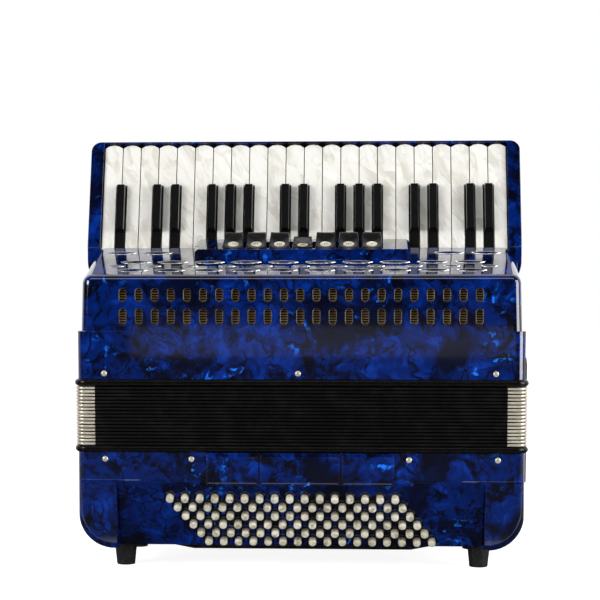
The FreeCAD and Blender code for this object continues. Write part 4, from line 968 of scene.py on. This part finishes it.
# %% Badges and their marks
BADGE_PLACE = 4.2
PLATE_RINGS = ((5.6, 4.0, -1.2), (5.6, 4.0, 0.1), (5.3, 3.7, 0.4), (3.3, 2.3, 0.5), (0.3, 0.2, 0.52))
DOT_RINGS = ((0.62, 0.4), (0.62, 0.62), (0.3, 0.66))
DOT_PLACES = ((0,), (-1.3, 1.3), (0, -1.9, 1.9))


def badge_frame(frame_of):
    """A function from (across, forward, lift) of a badge to the row's frame."""
    base = face_height(BADGE_PLACE, 0) + 0.25
    cosine, sine = math.cos(FACE_TILT), math.sin(FACE_TILT)
    return lambda across, forward, lift: frame_of(
        across,
        BADGE_PLACE + forward * cosine - lift * sine,
        base + forward * sine + lift * cosine,
    )


def add_plate(shape, at, kind):
    """The same oval plate for each kind of mark."""
    ways = [(math.cos(turn), math.sin(turn)) for turn in full_turn(24)]
    shape.loft([[at(wide * a, long * b, lift) for a, b in ways] for wide, long, lift in PLATE_RINGS])


def add_dots(shape, at, kind):
    ways = [(math.cos(turn), math.sin(turn)) for turn in full_turn(10)]
    for x in DOT_PLACES[kind % 3]:
        shape.loft([[at(x + size * a, size * b, lift) for a, b in ways] for size, lift in DOT_RINGS])


for name, switches, body, add, material, slot in (
    ("rocker_badges", SWITCHES, "register_switches", add_plate, BUTTON_PEARL, "button_pearl"),
    ("chosen_badge", CHOSEN, "selected_register_switch", add_plate, BUTTON_PEARL, "button_pearl"),
    ("badge_marks", SWITCHES, "register_switches", add_dots, FRAME_BLACK, "black_gloss"),
    ("chosen_mark", CHOSEN, "selected_register_switch", add_dots, FRAME_BLACK, "black_gloss"),
):
    shape = Shape()
    for kind, frame_of in switches:
        add(shape, badge_frame(frame_of), kind)
    make_piece(name, shape, material, body)


# %% [markdown]
# ## Bass buttons
# The board leans under the casing and carries six rows of sixteen buttons. Each button is a turned pearl
# cap with a soft dome, standing in a black collar, which covers the hole in the board and is partly painted
# shade round the button. One mesh for all would be simpler, but the notes and the chords move on joints of
# their own, so each group gets its own.

# %% Buttons and shade collars
TILT = math.radians(26)
BOARD_TOP = Vector((0, FRONT, bass_low.z + 64.8 * MM))
BOARD_OUT = Vector((0, -math.cos(TILT), -math.sin(TILT)))
BOARD_UP = Vector((0, -math.sin(TILT), math.cos(TILT)))
ROWS, COLUMNS, NOTE_ROWS = 6, 16, 2
FIRST_BUTTON = -125
FIRST_ROW = 16.75
BUTTON_PITCH = 14.38
ROW_PITCH = 9.83
SHADE_COLLAR_RADIUS = 5.2 * MM
CAP = pairs(
    (3.3, -6.5), (3.3, -0.5), (3.75, -0.3), (3.75, 4.3), (3.6, 5.0), (3.1, 5.6), (2.1, 5.95), (0.9, 6.08),
    (0.1, 6.1),
)
SHADE_COLLAR = pairs((-0.7, -1.2), (-0.7, 0.25), (-0.4, 0.4), (0.4, 0.4), (0.7, 0.1), (0.7, -0.1))
button_shapes = {"bass_note_buttons": Shape(), "chord_buttons": Shape()}
shade_collars = Shape()
ways = [ACROSS * math.cos(turn) + BOARD_UP * math.sin(turn) for turn in full_turn(20)]
for row in range(ROWS):
    kind = "bass_note_buttons" if row < NOTE_ROWS else "chord_buttons"
    for column in range(COLUMNS):
        x = (FIRST_BUTTON + (column + row / 2) * BUTTON_PITCH) * MM
        seat = BOARD_TOP + ACROSS * x - BOARD_UP * (FIRST_ROW + ROW_PITCH * row) * MM
        button_shapes[kind].turned(CAP, seat, BOARD_OUT, 20)
        # Each collar covers the board's hole and is a black ring of painted shade round the button.
        shade_collars.rim([seat + way * SHADE_COLLAR_RADIUS for way in ways], BOARD_OUT, SHADE_COLLAR)
for kind, shape in button_shapes.items():
    make_piece(f"{kind}_caps", shape, BUTTON_PEARL, kind, [kind], 35)
make_piece("button_collars", shade_collars, FRAME_BLACK, "bass_side")
print("buttons:", ROWS * COLUMNS)


# %% [markdown]
# The casing's lower half is a cover of its own. Its upper edge shows as a low ledge from the
# register pads to both ends of the front. It stands out by half a millimetre, too little for the
# casing's solid, so it is a flat loft that runs out where the casing turns round.

# %% Ledge of the lower cover
LEDGE_REACHES = ((106, 0.1), (107, 0.6), (204, 0.6), (209, 0.0))
ledge = Shape()
for side in (-1, 1):
    rings = []
    for reach, proud in LEDGE_REACHES:
        section = ((-0.5, 2.6), (proud, 1.9), (proud, 0.6), (-0.5, 0.2))
        x = side * reach * MM
        rings.append([(x, FRONT - out * MM, BOARD_TOP.z + up * MM) for out, up in section])
    ledge.loft(rings)
make_piece("cover_ledge", ledge, BLUE_PEARL, "bass_side", sharp_angle=50)


# %% [markdown]
# ## Pins and snaps
# Domed nickel pins hold the bellows frames in the casings, front and rear, and a snap closes each
# bellows strap. A flat disc would mirror one spot only, so both are turned from a domed profile.

# %% Frame pins and strap snaps
PIN = pairs((2.85, -0.3), (2.85, 0.25), (2.5, 0.8), (1.7, 1.25), (0.7, 1.45), (0.1, 1.48))
SNAP = pairs((5.2, -0.4), (5.2, 0.3), (4.6, 1.1), (3.2, 1.7), (1.2, 2.0), (0.1, 2.02))
for name, body, places, height in (
    ("treble_pins", "treble_side", (-187, -2, 184.6), 191.5),
    ("bass_pins", "bass_side", (-186.4, -103.6, 103.4, 187.2), 109.7),
):
    pins = Shape()
    for x in places:
        for side in (-1, 1):
            pins.turned(PIN, (x * MM, side * bass_high.y, height * MM), (0, side, 0), 16)
    make_piece(name, pins, NICKEL, body)

for name, side in (("bellows_strap_left", -1), ("bellows_strap_right", 1)):
    low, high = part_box(name)
    face = high.x if side > 0 else low.x
    snap = Shape()
    snap.turned(SNAP, (face - side * 1.0 * MM, 0, high.z - 8 * MM), (side, 0, 0), 20)
    make_piece(f"{name}_snap", snap, NICKEL, name)


# %% [markdown]
# ## Floor, lights and camera
# The instrument stands on a white sheet that takes a soft shadow. A plain white sheet would lie over the
# celluloid as a pale veil, so it glows for the camera. Reflections see it white behind the instrument and
# dark in front, with painted shadow under the instrument and one painted lit band that draws highlights
# along the edges.

# %% Floor
def make_floor():
    tree = Finish("floor", Roughness=0.9)
    rays = tree.add("ShaderNodeLightPath").outputs
    ahead = tree.times(tree.add("ShaderNodeSeparateXYZ", Vector=tree.place).outputs["Y"], -1.0)
    # Painted for reflections only: a lit band in front, white behind, and painted shadow under the
    # instrument.
    lit = tree.times(tree.between(ahead, 0.2, 0.23), tree.between(ahead, 0.29, 0.33, 1.0, 0.0))
    lit = tree.math("MAXIMUM", lit, tree.between(ahead, -0.25, -0.15, 1.0, 0.0))
    dark = tree.times(rays["Is Glossy Ray"], tree.math("SUBTRACT", 1.0, lit))
    pale = tree.mix(dark, grey(0.8), grey(0.02))
    tree.put(tree.surface["Base Color"], pale)
    tree.surface["Emission Color"].default_value = grey(1)
    tree.put(tree.surface["Emission Strength"], tree.times(rays["Is Camera Ray"], 0.88))
    sheet = Shape()
    sheet.points = [(-6, -6, 0), (6, -6, 0), (6, 6, 0), (-6, 6, 0)]
    sheet.faces = [(0, 1, 2, 3)]
    floor = make_object("floor", sheet, tree.material)
    print("floor:", [round(value, 1) for value in floor.dimensions], "m")


make_floor()


# %% [markdown]
# Two broad lights stand at the sides, where they shape the round ends and stay out of the front's
# mirror. A dim card low in front and a weak light overhead fill the rest. The world works like the
# floor: white for the camera and behind, dark in front for mirrored rays, grey for soft light.

# %% Lights and world
def add_light(name, place, target, size, power):
    """A rectangular light that looks at its target; size in metres, power in watts."""
    data = bpy.data.lights.new(name, "AREA")
    data.shape = "RECTANGLE"
    data.size, data.size_y = size
    data.energy = power
    light = bpy.data.objects.new(name, data)
    light.location = place
    direction = Vector(target) - Vector(place)
    light.rotation_euler = direction.to_track_quat("-Z", "Y").to_euler()
    SCENE.collection.objects.link(light)


add_light("key_light", (-2.1, -1.7, 1.1), (0, 0, 0.2), (1.0, 1.6), 46)
add_light("fill_light", (2.0, -0.8, 0.8), (0, 0, 0.2), (1.4, 1.6), 44)
add_light("front_card", (0.0, -3.1, 0.095), (0, 0, 0.095), (1.05, 0.08), 0.07)
add_light("top_light", (0.0, -1.2, 3.2), (0, 0, 0.2), (2.4, 0.5), 9)

world = bpy.data.worlds.new("studio")
SCENE.world = world
world.use_nodes = True
sky = Tree(world.node_tree)
background = world.node_tree.nodes["Background"]
background.inputs["Color"].default_value = grey(1)
rays = sky.add("ShaderNodeLightPath").outputs
mirrored = sky.math("MAXIMUM", rays["Is Glossy Ray"], rays["Is Transmission Ray"])
towards = sky.add("ShaderNodeSeparateXYZ", Vector=sky.add("ShaderNodeTexCoord").outputs["Generated"])
backdrop = sky.times(mirrored, sky.between(towards.outputs["Y"], 0.05, 0.4))
around = sky.between(mirrored, 0.0, 1.0, 0.42, 0.012)
seen = sky.math("MAXIMUM", rays["Is Camera Ray"], backdrop)
sky.put(background.inputs["Strength"], sky.math("MAXIMUM", seen, around))
print(len(bpy.data.lights), "lights")


# %% [markdown]
# The camera looks from the front at the height of the grille, a little from the right. The lens is
# shifted, so that upright edges stay upright although the instrument sits low and left.

# %% Camera
camera_data = bpy.data.cameras.new("camera")
camera_data.sensor_width = 36
camera_data.lens = 110.7
camera_data.shift_x = 0.0904
camera_data.shift_y = 0.2031
camera = bpy.data.objects.new("camera", camera_data)
eye = Vector((0.0489, -1.8409, 0.2963))
heading = Vector((-0.05727, 0.99466, -0.08585)).normalized()
camera.matrix_world = Matrix.Translation(eye) @ heading.to_track_quat("-Z", "Y").to_matrix().to_4x4() @ (
    Matrix.Rotation(math.radians(-0.071), 4, "Z")
)
SCENE.collection.objects.link(camera)
SCENE.camera = camera
SCENE.view_settings.view_transform = "Standard"
print("the camera stands", round(-eye.y, 2), "m in front, lens", camera_data.lens, "mm")
